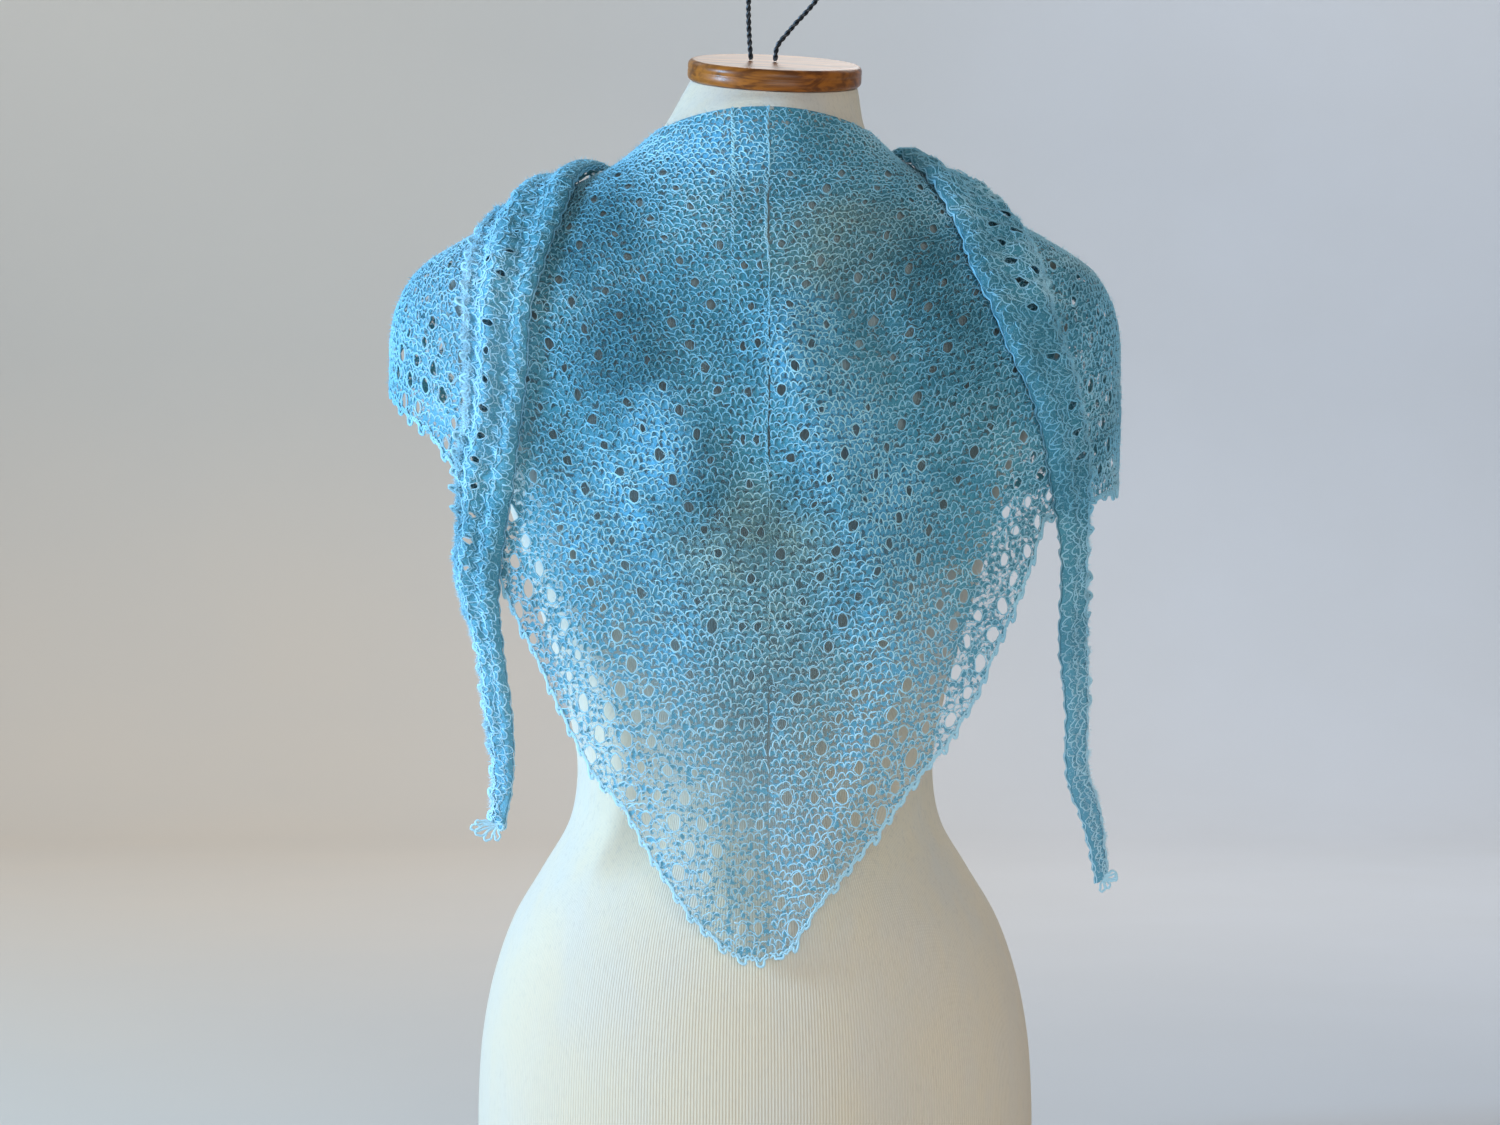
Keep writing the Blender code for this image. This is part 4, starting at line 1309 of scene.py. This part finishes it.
def make_strip(paints):
    """The strip down the middle, with a twisted rib along each side and a ladder of paired eyelets."""
    inner = STRIP_CENTRE - STRIP_WIDTH / 2
    shape = FrontShape(1, inner, STRIP_CENTRE + STRIP_WIDTH / 2)
    columns = 10
    along = np.linspace(0, STRIP_WIDTH * 0.999, columns + 1)
    across = row_lines(0.56)
    eyelets = []
    for level in range(3, 90):
        j = 5 + LINE_DOWN // 2 * 2 * level // 2 * 2
        if j + 4 < len(across) and across[j] < 0.53 and level % 2 == 0:
            grow = 1 + 0.4 * across[j] / 0.5
            places = (3, 7) if level % 4 == 0 else (5,)
            for i in places:
                eyelets.append((j | 1, i, 1.9 * MM * grow, 2.9 * MM * grow))
    knit = Knit(shape, along, across, eyelets)
    ground = knit.ground(0, columns)
    yarn = Faces()
    knit.yarn(0, columns, yarn)
    knit.ring_yarn(0, columns, yarn)
    deep = float(hem_line(shape, np.array([STRIP_WIDTH / 2]))[1][0])
    for place, deepest in ((0.3, 70), (9.8, 150)):
        rows = np.arange(0, min(deepest, np.searchsorted(across, deep) - 1), 0.25)
        knots = np.arange(0, rows[-1] + 3, 3)
        for phase in (0.0, math.pi):
            turn = math.pi * rows + phase
            column_place = place + 0.3 * np.sin(turn) + 0.3 * np.interp(rows, knots, chance.normal(0, 1, len(knots)))
            points = lookup(knit.points, rows, column_place)
            outs = unit(lookup(knit.outs, rows, column_place))
            fading = np.clip(1 - rows / deepest, 0, 1)
            lift = (1.1 * fading - 0.5 + 0.4 * np.cos(turn)) * MM - lookup(knit.sunk, rows, column_place)
            marks = np.stack([column_place / 2, rows / 2], axis=1)
            width = YARN_HALF_WIDTH * (0.8 + 0.4 * fading)
            add_yarn(yarn, points + outs * lift[:, None], outs, width[:, None], YARN_HEIGHT, marks)
    reach = np.arange(0, STRIP_WIDTH, 1.0 * MM)
    picot_edge(shape, *hem_line(shape, reach), ground, yarn)
    fuzz = Faces()
    knit.fuzz(0, columns, 0.5, fuzz)
    return finish_cloth("centre_strip", ground, yarn, fuzz, *paints)


def cap_matrix():
    roll = Matrix.Rotation(CAP_ROLL, 4, "Y")
    tilt = Matrix.Rotation(CAP_TILT, 4, "X")
    return Matrix.Translation(CAP_CENTRE) @ roll @ tilt


def moved(points, matrix):
    whole = np.array(matrix)
    return points @ whole[:3, :3].T + whole[:3, 3]


def make_form(paint):
    around = 160
    angles = np.linspace(0, 360, around + 1)
    turn = np.radians(angles)
    under_cap = -CAP_THICKNESS / 2 - TOUCH_GAP
    top = np.stack([np.sin(turn), -np.cos(turn), np.zeros_like(turn)], axis=1) * NECK_TOP_RADIUS
    top[:, 2] = under_cap
    rings = [moved(top, cap_matrix())]
    for drop, inside in NECK_AND_SHOULDER:
        place, out, _ = drape_frames(angles, np.full_like(angles, drop * MM))
        rings.append(place - out * inside * MM)
    for sizes in FORM:
        rings.append(ring_points(angles, *[size * MM for size in sizes]))
    rings = np.array(rings)
    travel = np.linalg.norm(np.diff(rings, axis=0), axis=2).mean(axis=1)
    travel = np.concatenate([[0], np.cumsum(travel)])
    fine = np.linspace(0, travel[-1], 170)
    points = smooth(travel, rings, fine)
    points[-1, :, 2] = 0.0
    marks = np.stack(np.meshgrid(np.arange(around + 1) / around, fine), axis=-1)
    faces = Faces()
    faces.add(points.reshape(-1, 3), strip_faces(len(fine), around + 1), marks.reshape(-1, 2))
    for ring, flip in ((points[0], 1), (points[-1], -1)):
        middle = ring[:-1].mean(axis=0)
        fan = np.concatenate([[middle], ring])
        spokes = np.arange(1, around + 1)
        corners = np.stack([np.zeros_like(spokes), spokes, spokes + 1], axis=1)[:, ::flip]
        faces.add(fan, corners)
    form = faces.make("form_cover", paint)
    form.data.set_sharp_from_angle(angle=math.radians(50))
    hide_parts("form_torso")
    return form


def make_cap(paint):
    """The wooden neck cap, turned with rounded edges and a fine groove round its side."""
    profile = [(0.0, 7.0), (30.0, 7.0), (50.0, 6.9)]
    for number in range(7):
        turn = math.radians(90 * number / 6)
        profile.append((53.5 + 4.0 * math.sin(turn), 3.0 + 4.0 * math.cos(turn)))
    profile += [(57.5, 1.2), (57.1, 0.6), (57.5, 0.0)]
    for number in range(7):
        turn = math.radians(90 * number / 6)
        profile.append((54.0 + 3.5 * math.cos(turn), -3.5 - 3.5 * math.sin(turn)))
    profile += [(40.0, -7.0), (0.0, -7.0)]
    around = 128
    turn = np.linspace(0, 2 * math.pi, around + 1)
    lines = [np.stack([r * np.cos(turn), r * np.sin(turn), np.full_like(turn, z)], axis=1) for r, z in profile]
    points = moved(np.array(lines).reshape(-1, 3) * MM, cap_matrix())
    faces = Faces()
    faces.add(points, strip_faces(len(profile), around + 1))
    cap = faces.make("cap_wood_disc", paint)
    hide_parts("neck_cap")


def loop_route(count):
    middle = cap_matrix() @ Vector((0.0, 0.0, CAP_THICKNESS / 2))
    foot = TOUCH_GAP + WIRE_RADIUS * (math.tan(CAP_TILT) + math.tan(CAP_ROLL))
    points = np.array(LOOP) * MM
    for end in (0, -1):
        points[end, 2] += foot - points[end, 0] * math.tan(CAP_ROLL)
    steps = np.linalg.norm(np.diff(points, axis=0), axis=1)
    travel = np.concatenate([[0], np.cumsum(steps)])
    return smooth(travel, points, np.linspace(0, travel[-1], count)) + np.array(middle), travel[-1]


def make_loop(paint):
    """Two strands of wire, twisted round each other, along the loop's route."""
    count = 420
    route, length = loop_route(count)
    ahead = unit(np.gradient(route, axis=0))
    side = np.tile((0.0, 1.0, 0.0), (count, 1))
    up = np.cross(ahead, side)
    turn = np.linspace(0, length / (9 * MM) * 2 * math.pi, count)
    faces = Faces()
    for phase in (0.0, math.pi):
        swing = side * np.cos(turn + phase)[:, None] + up * np.sin(turn + phase)[:, None]
        add_tube(faces, route + swing * STRAND_RADIUS * 0.8, side, STRAND_RADIUS, 8)
    loop = faces.make("wire_strands", paint)
    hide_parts("hanging_loop")


add_camera()
add_stage()
light_scene()

paints = (ground_surface("shawl_ground", False), yarn_surface(), fuzz_surface())
make_form(jersey_surface())
make_cap(wood_surface())
make_loop(wire_surface())
front_left = make_front("front_left", -1, *paints)
front_right = make_front("front_right", 1, *paints)
strip = make_strip(paints)
bundle_paint = ground_surface("shawl_bundle", True)
right_names = ("wrap_from_right", "tail_left")
left_names = ("wrap_from_left", "tail_right")
right_wing = make_wing(RIGHT_WING, RIGHT_WING_FOLDS, 1, RIGHT_WING_SHOULDER, LEFT_TAIL_LOOPS, right_names, paints, bundle_paint)
left_wing = make_wing(LEFT_WING, LEFT_WING_FOLDS, -1, LEFT_WING_SHOULDER, RIGHT_TAIL_LOOPS, left_names, paints, bundle_paint)
